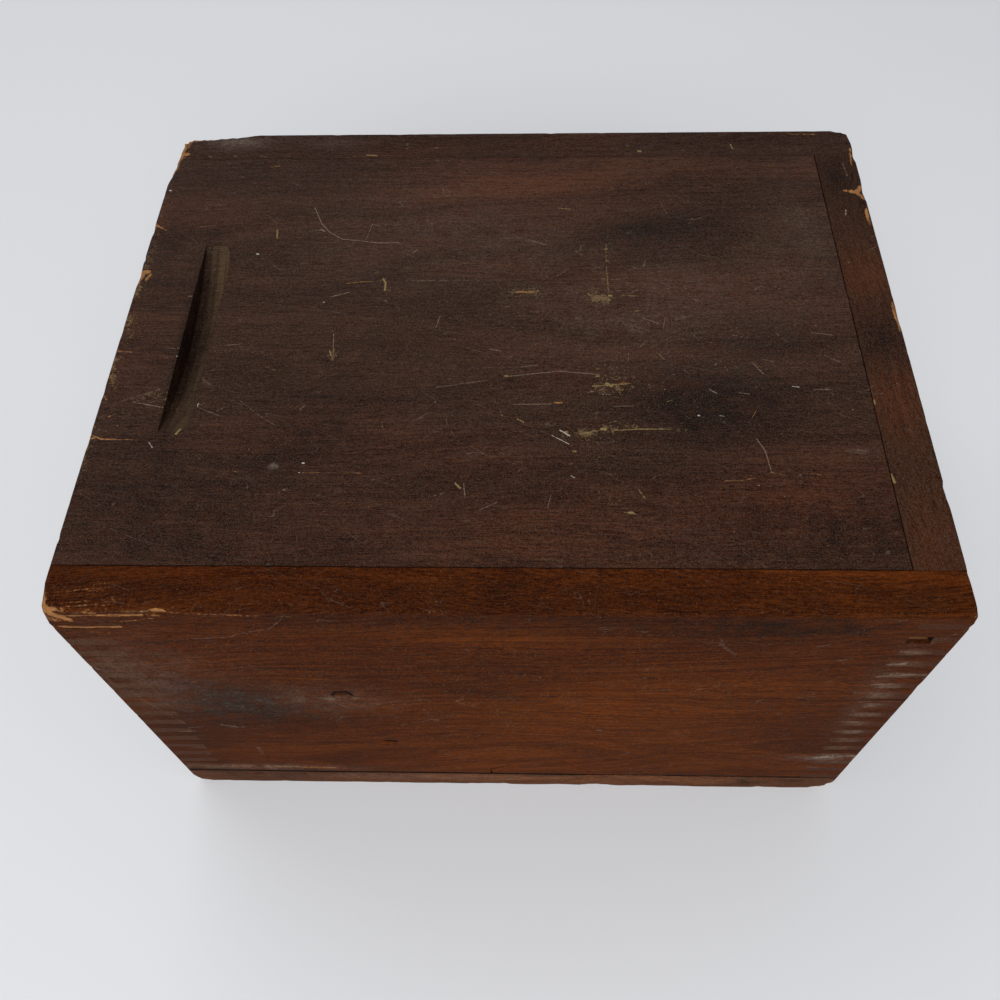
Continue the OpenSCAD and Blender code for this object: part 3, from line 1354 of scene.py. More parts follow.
@dataclass
class CandleBox:
    """The whole box: its boards, lid and nails."""

    sizes: BoxSizes
    wear: EdgeWear

    def _finishes(self) -> dict[str, AgedWood]:
        """Stains each board from the same wood, as the old box has darkened unevenly.

        Returns:
            Each board's wood, by its node.
        """
        front = AgedWood(
            "stained_front_wood", dark="#250f04", light="#52270d", warm="#612f0b", grime="#1d120c",
            pith=(-60.0, 40.0), seed=1.0, ring_spacing=2.6, cloudiness=0.4, sheen=0.02, roughness=0.6,
            slope=0.06, sway=22.0, fibre_share=0.66, softness=0.14, speckle=0.03,
        )
        ends = AgedWood(
            "stained_end_wood", dark="#281a13", light="#432d20", warm="#4f2d1d", pith=(70.0, 140.0),
            end_dark="#291409", end_light="#522c16", scuff_and_sheen="#8f7b69", seed=2.0, sheen=0.03,
            softness=0.34,
        )
        return {
            "front_board": front,
            "back_board": replace(
                front, name="stained_back_wood", dark="#271a15", light="#46322a", warm="#4d2f22",
                seed=4.0, slope=0.0, softness=0.16, speckle=0.05,
            ),
            "closed_end_board": ends,
            "lid_end_board": replace(
                ends, name="stained_low_end_wood", end_dark="#2e180e", end_light="#523019", seed=5.0
            ),
            "bottom_board": AgedWood(
                "stained_bottom_wood", dark="#3d2216", light="#6b432c", warm="#7a4c2d", seed=6.0,
                grime="#2b1d14", raw="#5e4330", sheen=0.03, roughness=0.62,
            ),
            "sliding_lid": AgedWood(
                "stained_lid_wood", dark="#1e130e", light="#463025", grime="#1a110d", seed=3.0,
                sway=13.0, fibre_share=0.66, softness=0.18,
            ),
        }

    def _marks(self) -> dict[Face, tuple[Mark, ...]]:
        """Lists the marks of all faces; those that the photograph does not show are strewn.

        Returns:
            The marks, by face.
        """
        box = self.sizes
        return {
            Face.TOP: TOP_MARKS
            + strewn_marks((152, 66), (238, 140), 56, 14, 8.0, 1.6, False)
            + strewn_marks((30, 30), (150, 180), 30, 15, 9.0, 0.9, False),
            Face.FRONT: FRONT_MARKS,
            Face.BACK: strewn_marks((0, 0), (box.length, box.height), 30, 11),
            Face.OPEN_END: strewn_marks((0, 0), (box.depth, box.height), 22, 12),
            Face.CLOSED_END: strewn_marks((0, 0), (box.depth, box.height), 24, 13),
        }

    def boards(self) -> list[Board]:
        """Lists the six boards with their woods, seams, patches and marks.

        Returns:
            The boards.
        """
        box = self.sizes
        top = box.half.z
        wall_seams = {
            side: Seam((1, 2), (side * box.inner_y, top), (-side, 1), grime=0.45) for side in (-1, 1)
        }
        lid_seams = tuple(
            Seam((1, 2), (side * (box.inner_y - box.lid_gap), top), (side, 1), grime=0.45)
            for side in (-1, 1)
        )
        end_seam = Seam((0, 2), (box.closed_x, top), (-1, 1), grime=0.45)
        lid_end = Seam((0, 2), (box.closed_x - box.lid_gap, top), (1, 1), grime=0.45)
        foot, head = {}, {}
        for axis, edge in ((0, box.half.x), (1, box.half.y)):
            for side in (-1, 1):
                at = (side * edge, box.bottom)
                foot[axis, side] = Seam((axis, 2), at, (side, -1), 0.35, 0.5, 1.0, 2.6)
                head[axis, side] = Seam((axis, 2), at, (side, 1), 0.3, 0.5, 1.0, 1.2)
        woods = self._finishes()
        shared = {"marks": self._marks(), "sizes": box, "wear": self.wear}
        return [
            Board(
                "front_board", "wall_wood", woods["front_board"], Grain.ALONG_BOX, (1.8, 3.5, 2.2),
                (wall_seams[-1], foot[1, -1]), {Face.FRONT: FRONT_PATCHES}, **shared,
            ),
            Board(
                "back_board", "wall_wood", woods["back_board"], Grain.ALONG_BOX, (2.2, 3.5, 3.5),
                (wall_seams[1], foot[1, 1]),
                {Face.TOP: BACK_PATCHES, Face.BACK: REAR_PATCHES}, **shared,
            ),
            Board(
                "closed_end_board", "end_wood", woods["closed_end_board"], Grain.ACROSS_BOX,
                (3.0, 2.0, 2.4), (end_seam, foot[0, 1]),
                {Face.TOP: END_PATCHES, Face.FRONT: FINGER_PATCHES, Face.CLOSED_END: CLOSED_END_PATCHES},
                **shared,
            ),
            Board(
                "lid_end_board", "end_wood", woods["lid_end_board"], Grain.ACROSS_BOX,
                (3.0, 2.2, 2.8), (foot[0, -1],),
                {Face.FRONT: FRONT_PATCHES, Face.OPEN_END: OPEN_END_PATCHES}, **shared,
            ),
            Board(
                "bottom_board", "bottom_wood", woods["bottom_board"], Grain.ALONG_BOX,
                (2.2, 2.8, 3.5), tuple(head.values()), {Face.FRONT: BOTTOM_PATCHES}, **shared,
            ),
            Board(
                "sliding_lid", "lid_wood", woods["sliding_lid"], Grain.ALONG_BOX, (2.4, 2.0, 4.0),
                (*lid_seams, lid_end), {Face.TOP: LID_PATCHES}, body="lid", **shared,
            ),
        ]

    def make(self) -> None:
        """Makes every board and dresses the nails."""
        for board in self.boards():
            board.make()
        nails = bpy.data.objects["bottom_nails"]
        nails.data.materials.clear()
        nails.data.materials.append(RustyIron().build())
        LOG.info("bottom_nails: dressed in rusty iron")


@dataclass(frozen=True)
class Lamp:
    """A wide soft lamp that looks at the box: its place and size in metres, and its watts."""

    name: str
    at: tuple[float, float, float]
    size: tuple[float, float]
    power: float

    def make(self) -> None:
        """Hangs the lamp."""
        data = bpy.data.lights.new(self.name, "AREA")
        data.shape = "RECTANGLE"
        data.size, data.size_y = self.size
        data.energy = self.power
        lamp = bpy.data.objects.new(self.name, data)
        place = Vector(self.at)
        turn = (BOX_MIDDLE - place).to_track_quat("-Z", "Y").to_matrix().to_4x4()
        lamp.matrix_world = Matrix.Translation(place) @ turn
        bpy.context.scene.collection.objects.link(lamp)


@dataclass(frozen=True)
class Studio:
    """A pale floor, soft light all round and a camera where the photograph was taken from."""

    camera_at: tuple[float, float, float] = (7.87, -221.59, 399.5)  # in millimetres
    pitch: float = 57.186  # how far it looks down, in degrees
    yaw: float = -3.293  # how far it looks to the right
    roll: float = 2.537
    focal_px: float = 969.0
    frame_px: float = 1000.0
    sensor: float = 36.0
    floor_size: float = 3.0  # half its side, in metres
    floor_colour: str = "#dcdddf"
    room_colour: str = "#f4f6fa"
    room_light: float = 0.45
    lamps: tuple[Lamp, ...] = (
        Lamp("front_softbox", (0.0, -1.5, 1.6), (1.6, 1.2), 36.0),
        Lamp("rear_window", (-0.7, 0.9, 1.5), (1.6, 1.2), 7.0),
    )

    def make(self) -> None:
        """Sets up floor, light and camera."""
        self._floor()
        self._light()
        self._camera()

    def _camera(self) -> None:
        """Aims the camera by its pitch, yaw and roll."""
        pitch, yaw, roll = (math.radians(a) for a in (self.pitch, self.yaw, self.roll))
        forward = Vector(
            (math.sin(yaw) * math.cos(pitch), math.cos(yaw) * math.cos(pitch), -math.sin(pitch))
        )
        level = Vector((math.cos(yaw), -math.sin(yaw), 0))
        down = forward.cross(level)
        right = level * math.cos(roll) + down * math.sin(roll)
        up = level * math.sin(roll) - down * math.cos(roll)
        data = bpy.data.cameras.new("photo_camera")
        data.sensor_width = self.sensor
        data.lens = self.focal_px / self.frame_px * self.sensor
        data.clip_start = 0.01
        camera = bpy.data.objects.new("photo_camera", data)
        axes = Matrix((right, up, -forward)).transposed().to_4x4()
        camera.matrix_world = Matrix.Translation(Vector(self.camera_at) * MM) @ axes
        bpy.context.scene.collection.objects.link(camera)
        bpy.context.scene.camera = camera

    def _floor(self) -> None:
        """Lays the floor."""
        shape = bmesh.new()
        bmesh.ops.create_grid(shape, x_segments=1, y_segments=1, size=self.floor_size)
        mesh = bpy.data.meshes.new("floor")
        shape.to_mesh(mesh)
        shape.free()
        floor = bpy.data.objects.new("floor", mesh)
        bpy.context.scene.collection.objects.link(floor)
        material, add = new_material("pale_matt_floor")
        paint = {"Base Color": linear(self.floor_colour), "Roughness": 0.7}
        add("OutputMaterial", {0: add("BsdfPrincipled", paint)})
        mesh.materials.append(material)
        floor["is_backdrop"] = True

    def _light(self) -> None:
        """Lights the box evenly from the room, and softly from the lamps."""
        world = bpy.data.worlds.new("soft_room")
        world.use_nodes = True
        background = world.node_tree.nodes["Background"]
        background.inputs[0].default_value = linear(self.room_colour)
        background.inputs[1].default_value = self.room_light
        bpy.context.scene.world = world
        for lamp in self.lamps:
            lamp.make()


# Marks, soft areas and chips. Those of the top and the front lie where the photograph shows them.

# The glints among these marks are painted highlights.
TOP_MARKS = (
    *listed(
        Trace.SCRATCH,
        (
            0.5, 0.85, (58, 165.3), (61.7, 156.5), (65.2, 152), (70, 148.5), (77.5, 147.5), (83, 146.5),
            (91, 146.5),
        ),
        (0.6, 0.6, (58.5, 153.3), (62, 153.2)), (1.2, 0.8, (61.7, 153.8), (63, 152.7)),
        (0.4, 0.7, (83, 155.2), (80.2, 156.3), (78.5, 148)),
        (
            0.5, 0.4, (47.5, 101.3), (59, 103), (70.7, 104.2), (95.5, 108.2), (117.5, 111),
            (147.7, 113.5), (201.5, 115.2),
        ),
        (0.5, 0.75, (72, 103.3), (73, 93.2)), (0.35, 0.6, (94.2, 127.5), (113.3, 127.8), (127, 127.2)),
    ),
    *listed(
        Trace.BARE,
        (0.45, 0.5, (131, 127.2), (141, 126.7), (150, 126.5)), (1.1, 0.8, (132.5, 122), (138.5, 122)),
        (0.8, 0.6, (141, 121.5)), (0.8, 0.6, (144.5, 121.7)),
    ),
    *listed(
        Trace.FLECK,
        (1.0, 0.95, (86.5, 128.5), (87.5, 126.5), (87.5, 123)), (0.9, 0.45, (88, 118.5), (89, 115.5)),
    ),
    *listed(Trace.BARE, (0.8, 0.65, (74.2, 126.5), (78.5, 127), (83, 127.5))),
    *listed(
        Trace.FLECK,
        (1.2, 0.35, (86.5, 135.2), (88.8, 133.7)), (0.6, 0.5, (146.5, 129.5), (151.5, 133.5)),
        (1.0, 0.6, (150.7, 133)), (0.6, 0.45, (144.8, 136.5), (145.5, 138.5)),
        (0.8, 0.45, (129.5, 139), (130.3, 135)), (0.7, 0.55, (164.5, 145.3), (164, 136.3)),
        (1.0, 0.7, (164.7, 136.8)), (0.8, 0.5, (160.8, 134)),
        (0.8, 0.55, (164, 134), (164.3, 125.2), (164.3, 117.2)), (1.5, 0.9, (164.8, 120.2)),
        (1.2, 0.75, (157.5, 121)), (0.9, 0.6, (168.8, 120.5), (173.2, 120)),
        (0.8, 0.45, (161, 113.5), (160, 110.8)), (1.0, 0.4, (116, 108.5)), (0.8, 0.4, (115.7, 101.5)),
        (0.7, 0.4, (96.7, 93.2)),
    ),
    *listed(Trace.SCRATCH, (0.4, 0.7, (107.3, 80), (124, 83))),
    *listed(Trace.FLECK, (1.3, 0.8, (130, 84.7))),
    *listed(Trace.SCRATCH, (0.45, 0.8, (131.2, 84.7), (147.3, 86.8), (160, 85.3))),
    *listed(Trace.FLECK, (1.3, 0.7, (159.3, 84.7))),
    *listed(Trace.SCRATCH, (0.4, 0.7, (134.7, 88.5), (140, 89.3))),
    *listed(
        Trace.FLECK,
        (1.0, 0.7, (157.5, 80.5), (163, 81), (168.5, 81.5)), (1.7, 0.85, (162, 81.8), (163.5, 80.5)),
    ),
    *listed(Trace.BARE, (1.0, 0.8, (166, 81.8), (169.5, 81.8))),
    *listed(Trace.FLECK, (1.0, 0.6, (156, 78), (158.3, 78.5))),
    *listed(Trace.WHITE, (0.8, 0.5, (160.8, 77.3), (163.3, 77))),
    *listed(Trace.FLECK, (2.0, 0.4, (166.2, 79))),
    *listed(Trace.SCRATCH, (0.45, 0.8, (132.5, 73.2), (144.5, 73.3))),
    *listed(Trace.BARE, (1.1, 0.7, (145.5, 74), (147.8, 74))),
    *listed(
        Trace.FLECK,
        (0.7, 0.5, (128.3, 71.2), (129, 68.5)), (0.9, 0.5, (105.5, 71.2)),
        (0.8, 0.75, (133.8, 67.3), (135.8, 66)), (0.9, 0.45, (158.8, 71), (158.2, 67)),
    ),
    *listed(Trace.WHITE, (0.8, 0.8, (147, 63), (150, 60.8))),
    *listed(
        Trace.FLECK,
        (1.6, 0.8, (148.8, 62.3)), (0.9, 0.65, (153, 61.5), (159.3, 63)), (1.7, 0.9, (160.5, 63.5)),
        (0.7, 0.6, (162.2, 65.8), (164.5, 66.5)), (0.7, 0.8, (164, 63), (171.7, 63.5), (181, 63.5)),
    ),
    *listed(Trace.WHITE, (0.45, 0.8, (144.5, 61), (149.7, 57.7))),
    *listed(Trace.SCRATCH, (0.4, 0.6, (140.8, 63), (143, 62))),
    *listed(Trace.FLECK, (1.4, 0.7, (151.3, 55))),
    *listed(Trace.BARE, (1.3, 0.5, (149.8, 50.3))),
    *listed(Trace.WHITE, (0.8, 0.6, (150, 46), (151.2, 45.2))),
    *listed(Trace.FLECK, (1.3, 0.85, (115.5, 43), (117, 41.5))),
    *listed(
        Trace.SCRATCH,
        (0.35, 0.5, (111, 68.8), (112, 65), (115.5, 58.8), (120.2, 55), (130.2, 51.7), (137, 48.5)),
    ),
    *listed(
        Trace.FLECK,
        (0.7, 0.5, (134.5, 67)), (0.8, 0.35, (97.5, 53.5)), (0.8, 0.45, (114, 53)),
        (0.7, 0.5, (119.8, 52.7)), (0.6, 0.5, (129, 54.5), (129.8, 53.7)),
    ),
    *listed(Trace.BARE, (0.4, 0.65, (68.8, 46.8), (82, 47), (87, 46.7))),
    *listed(Trace.SCRATCH, (0.5, 0.5, (79.5, 39.5), (82.7, 39.7))),
    *listed(Trace.FLECK, (0.8, 0.4, (105.7, 31)), (0.7, 0.35, (80.2, 35))),
    *listed(
        Trace.SCRATCH,
        (0.5, 0.4, (79.2, 60.2), (80.8, 57.5)), (0.5, 0.35, (78.5, 58.7), (79.5, 56.5)),
    ),
    *listed(
        Trace.FLECK,
        (1.6, 0.85, (167.3, 33)), (0.7, 0.6, (165.3, 33.2), (169.3, 32.5)), (0.9, 0.5, (164, 37)),
        (0.9, 0.6, (170, 41), (171.7, 38)), (0.9, 0.4, (169.7, 39.5)),
    ),
    *listed(Trace.SCRATCH, (0.5, 0.5, (184, 39), (187, 39.3)), (0.5, 0.45, (174, 45), (178.2, 47.5))),
    *listed(
        Trace.BARE,
        (0.5, 0.6, (195.5, 44.3), (200.8, 44.5), (204.7, 45.5)), (0.5, 0.5, (204, 41.5), (205.8, 43)),
    ),
    *listed(Trace.SCRATCH, (0.55, 0.75, (206.8, 60.3), (209, 55.3), (209.8, 48.3))),
    *listed(Trace.FLECK, (1.2, 0.7, (209.7, 47.5))),
    *listed(Trace.SCRATCH, (0.4, 0.6, (209.7, 47.5), (213.7, 46.5))),
    *listed(
        Trace.BARE,
        (0.4, 0.4, (214, 48.3), (224.5, 46.5)), (0.4, 0.5, (209.2, 72.5), (206, 67), (203, 63.2)),
    ),
    *listed(Trace.FLECK, (0.7, 0.5, (212.5, 39))),
    *listed(Trace.WHITE, (0.7, 0.8, (220.7, 80.5), (222.7, 80.2))),
    *listed(Trace.SCRATCH, (0.6, 0.5, (208, 79), (210.5, 81.2), (211.5, 79))),
    *listed(Trace.WHITE, (0.7, 0.5, (237.2, 75.5)), (0.7, 0.6, (238, 71.2))),
    *listed(
        Trace.BARE,
        (0.5, 0.5, (199, 91.5), (201, 87.2)), (0.4, 0.45, (209.3, 90.3), (214.5, 86.8)),
    ),
    *listed(Trace.SCRATCH, (0.5, 0.5, (184.5, 71), (187, 67.5))),
    *listed(Trace.WHITE, (0.8, 0.9, (190.2, 68.8)), (0.7, 0.5, (196.7, 68.8), (198.2, 68.5))),
    *listed(Trace.DARK, (3.52, 0.7, (187.8, 64))),
    *listed(Trace.SCRATCH, (0.5, 0.45, (177.5, 61.2), (180, 57.5))),
    *listed(Trace.BARE, (0.7, 0.5, (194.5, 59.7))),
    *listed(
        Trace.WHITE,
        (0.8, 0.4, (174.3, 81.5), (176.8, 80.5)), (0.7, 0.35, (175, 79.3), (176, 80.2)),
        (0.6, 0.5, (180.5, 79.3)), (1.1, 0.9, (2, 175.2)),
    ),
    *listed(Trace.FLECK, (0.8, 0.5, (1.2, 178.3), (3.7, 179.5))),
    *listed(Trace.SCRATCH, (0.6, 0.4, (5.5, 180.5), (9.3, 180)), (1.0, 0.4, (13.5, 175.5))),
    *listed(
        Trace.BARE,
        (1.4, 0.7, (0, 156.8), (2.3, 155.2), (5, 153.5)), (0.45, 0.4, (10, 154), (22.8, 156)),
        (2.6, 0.85, (0.2, 126.8), (1.2, 132.2), (3.3, 132.2)), (1.8, 0.7, (4, 131.2), (3, 128.3)),
        (1.2, 0.4, (9, 131)), (1.2, 0.6, (-0.7, 121.5)),
    ),
    *listed(Trace.SCRATCH, (1.5, 0.55, (20.2, 120.5))),
    *listed(Trace.FLECK, (1.1, 0.75, (45.8, 153.3), (46.3, 149.2))),
    *listed(Trace.WHITE, (1.0, 1.0, (40.5, 141)), (0.9, 0.6, (67, 117.5))),
    *listed(Trace.FLECK, (0.7, 0.4, (54.3, 128))),
    *listed(Trace.BARE, (1.1, 0.5, (38.5, 188.3), (41.5, 189))),
    *listed(Trace.SCRATCH, (0.6, 0.45, (72, 184.5), (75.2, 183.3))),
    *listed(Trace.BARE, (1.1, 0.6, (0.8, 95.5), (5.5, 95))),
    *listed(Trace.FLECK, (0.8, 0.45, (0.5, 104.3), (2.7, 105.2))),
    *listed(Trace.SCRATCH, (0.9, 0.35, (8.5, 104.8))),
    *listed(Trace.WHITE, (0.4, 0.55, (17.8, 96.7), (21.5, 96.7)), (0.6, 0.8, (21.2, 93.2))),
    *listed(Trace.BARE, (1.4, 0.6, (-0.5, 78), (2.3, 74.7))),
    *listed(
        Trace.SCRATCH,
        (0.5, 0.6, (6.3, 74), (10, 75.5), (18.5, 79.3)), (0.6, 0.75, (10.7, 74), (21, 71.7)),
        (1.3, 0.5, (10, 75.5)),
    ),
    *listed(Trace.BARE, (0.6, 0.55, (4, 67.7), (7.8, 70.3))),
    *listed(Trace.WHITE, (0.6, 0.5, (8, 64.5))),
    *listed(
        Trace.BARE,
        (0.7, 0.7, (0.2, 61.2), (4, 59.2), (15.7, 59)), (1.2, 0.6, (-0.5, 58.5), (2, 60)),
    ),
    *listed(Trace.WHITE, (0.7, 0.65, (19.5, 58), (21, 56))),
    *listed(Trace.FLECK, (1.3, 1.0, (27.3, 61.2), (28, 63.5))),
    *listed(Trace.WHITE, (0.5, 0.8, (32, 73.5), (32, 72))),
    *listed(Trace.SCRATCH, (0.4, 0.7, (32.5, 71.7), (39.5, 68.5))),
    *listed(Trace.FLECK, (0.7, 0.6, (37.8, 80.5))),
    *listed(
        Trace.SCRATCH,
        (0.5, 0.4, (38.8, 78.5), (40.8, 76.5)), (0.6, 0.6, (38.3, 70.3), (40.2, 71.5)),
        (0.35, 0.6, (45.3, 74.5), (52.7, 68.3), (58.3, 64.5)),
    ),
    *listed(Trace.BARE, (0.4, 0.5, (50.2, 89.3), (54.7, 87.2))),
    *listed(Trace.SCRATCH, (0.4, 0.45, (45.3, 94), (47, 95.5)), (1.0, 0.4, (33.8, 98.3))),
    *listed(Trace.WHITE, (0.6, 0.5, (71.5, 73.2))),
    *listed(Trace.FLECK, (0.6, 0.6, (59.5, 60))),
    *listed(Trace.WHITE, (0.5, 0.5, (51.3, 55.5)), (0.85, 1.0, (68.7, 50.3)), (0.6, 0.8, (68, 46.8))),
    *listed(Trace.HAZE, (2.6, 0.8, (59.3, 49.2), (60.2, 49.2))),
    *listed(Trace.WHITE, (0.8, 0.4, (59.8, 50.3), (61, 49.2))),
    *listed(Trace.FLECK, (0.9, 0.5, (62.5, 38.7), (63, 40), (64.5, 40.5))),
    *listed(Trace.WHITE, (0.5, 0.5, (77, 33))),
    *listed(Trace.SCRATCH, (0.45, 0.4, (0.2, 47.5), (12, 46.5))),
    *listed(
        Trace.FLECK,
        (0.6, 0.4, (31, 51)), (0.9, 0.8, (71.5, 95.8), (72.3, 93.5)), (1.7, 0.9, (179, 196.2)),
    ),
    *listed(Trace.SCRATCH, (1.2, 0.5, (173.5, 200.5), (175.3, 199.2))),
    *listed(Trace.FLECK, (0.9, 0.5, (196, 197)), (1.2, 0.7, (214, 200), (214.5, 197.5))),
    *listed(Trace.SCRATCH, (0.8, 0.4, (230.5, 202.8), (230.5, 196.3))),
    *listed(Trace.BARE, (1.1, 0.5, (237, 205.7), (247, 205.5))),
    *listed(
        Trace.SCRATCH,
        (0.6, 0.5, (242.5, 201), (244, 195)), (1.4, 0.55, (254.7, 188.7), (255.2, 181)),
    ),
    *listed(
        Trace.BARE,
        (1.6, 0.7, (259, 197), (257.7, 187.8)), (2.2, 0.9, (253, 173.2), (257, 172), (259, 168.8)),
        (2.0, 0.8, (257, 172), (259.2, 175.5)), (1.8, 0.7, (258.5, 162.5), (258.7, 155)),
    ),
    *listed(Trace.WHITE, (0.9, 0.6, (251.5, 162.5), (251, 159.8))),
    *listed(
        Trace.SCRATCH,
        (0.6, 0.55, (185, 167.8), (185.8, 164.5), (187.2, 160.3)),
        (0.5, 0.4, (213.5, 156.5), (215.5, 159.5)),
    ),
    *listed(
        Trace.FLECK,
        (0.6, 0.45, (182.2, 127.5), (186, 121.8)), (0.7, 0.5, (184.3, 123.7), (185.5, 120.8)),
        (0.5, 0.4, (194.8, 127.5), (205, 132.2)),
    ),
    *listed(Trace.SCRATCH, (0.5, 0.6, (214, 123), (216.5, 124.5))),
    *listed(Trace.WHITE, (0.6, 0.6, (248, 135.7))),
    *listed(Trace.FLECK, (0.7, 0.6, (245, 122.5), (244.7, 117))),
    *listed(
        Trace.BARE,
        (1.8, 0.85, (259, 116.5), (259, 109.5)), (1.4, 0.6, (259.2, 109.5), (259, 103.8)),
        (0.9, 0.6, (259.5, 125.3)),
    ),
    *listed(Trace.SCRATCH, (0.5, 0.55, (244.5, 95.5), (245, 85))),
    *listed(Trace.FLECK, (1.0, 0.85, (245.2, 75), (245.2, 73.5))),
    *listed(Trace.SCRATCH, (0.4, 0.6, (244.7, 69), (244.8, 61.5), (244.7, 55))),
    *listed(Trace.FLECK, (1.3, 0.9, (245, 47), (245.5, 44))),
    *listed(
        Trace.SCRATCH,
        (0.6, 0.4, (248, 45.5), (250.5, 43.5)), (1.1, 0.6, (89, 199.3), (90, 198.5)),
        (1.4, 0.6, (101, 199.2)), (0.6, 0.35, (94.5, 186), (95.7, 184.3)),
    ),
    *listed(Trace.FLECK, (0.9, 0.65, (147.5, 164.3), (152, 163.7))),
    *listed(
        Trace.DARK,
        (1.92, 0.35, (102.8, 166.3), (103.2, 159.3)), (1.12, 0.3, (97.8, 180.2), (102, 169)),
    ),
    *listed(Trace.FLECK, (1.4, 0.7, (164.3, 142.8))),
    *listed(Trace.WHITE, (0.9, 0.4, (170, 152.5))),
    *listed(
        Trace.SCRATCH,
        (0.9, 0.6, (13, 195), (14.3, 194.5)), (1.0, 0.6, (22.8, 195), (24, 195)),
        (0.8, 0.5, (28.5, 194)), (0.8, 0.6, (33, 195), (35.8, 194.2)),
        (0.9, 0.45, (43, 194.8), (44.7, 194.7)),
    ),
    *listed(
        Trace.FLECK,
        (0.9, 0.6, (69.5, 194.5), (70.5, 195)), (1.1, 0.8, (74.5, 195), (78.5, 194.7)),
        (0.8, 0.6, (81.5, 194.5), (83, 195)), (0.7, 0.4, (91.2, 194.2), (95, 193.5)),
        (0.7, 0.35, (108.5, 193.5), (111.2, 194)), (0.7, 0.35, (155.5, 193.5), (160.2, 194)),
    ),
    *listed(
        Trace.BARE,
        (2.6, 1.0, (2.5, 197), (4.5, 196.5)), (1.8, 0.9, (1.5, 203.7), (2.5, 204.3)),
        (1.0, 0.6, (3.7, 200.5), (4, 203)), (1.2, 0.7, (4, 194.5), (3, 194.5)),
    ),
)
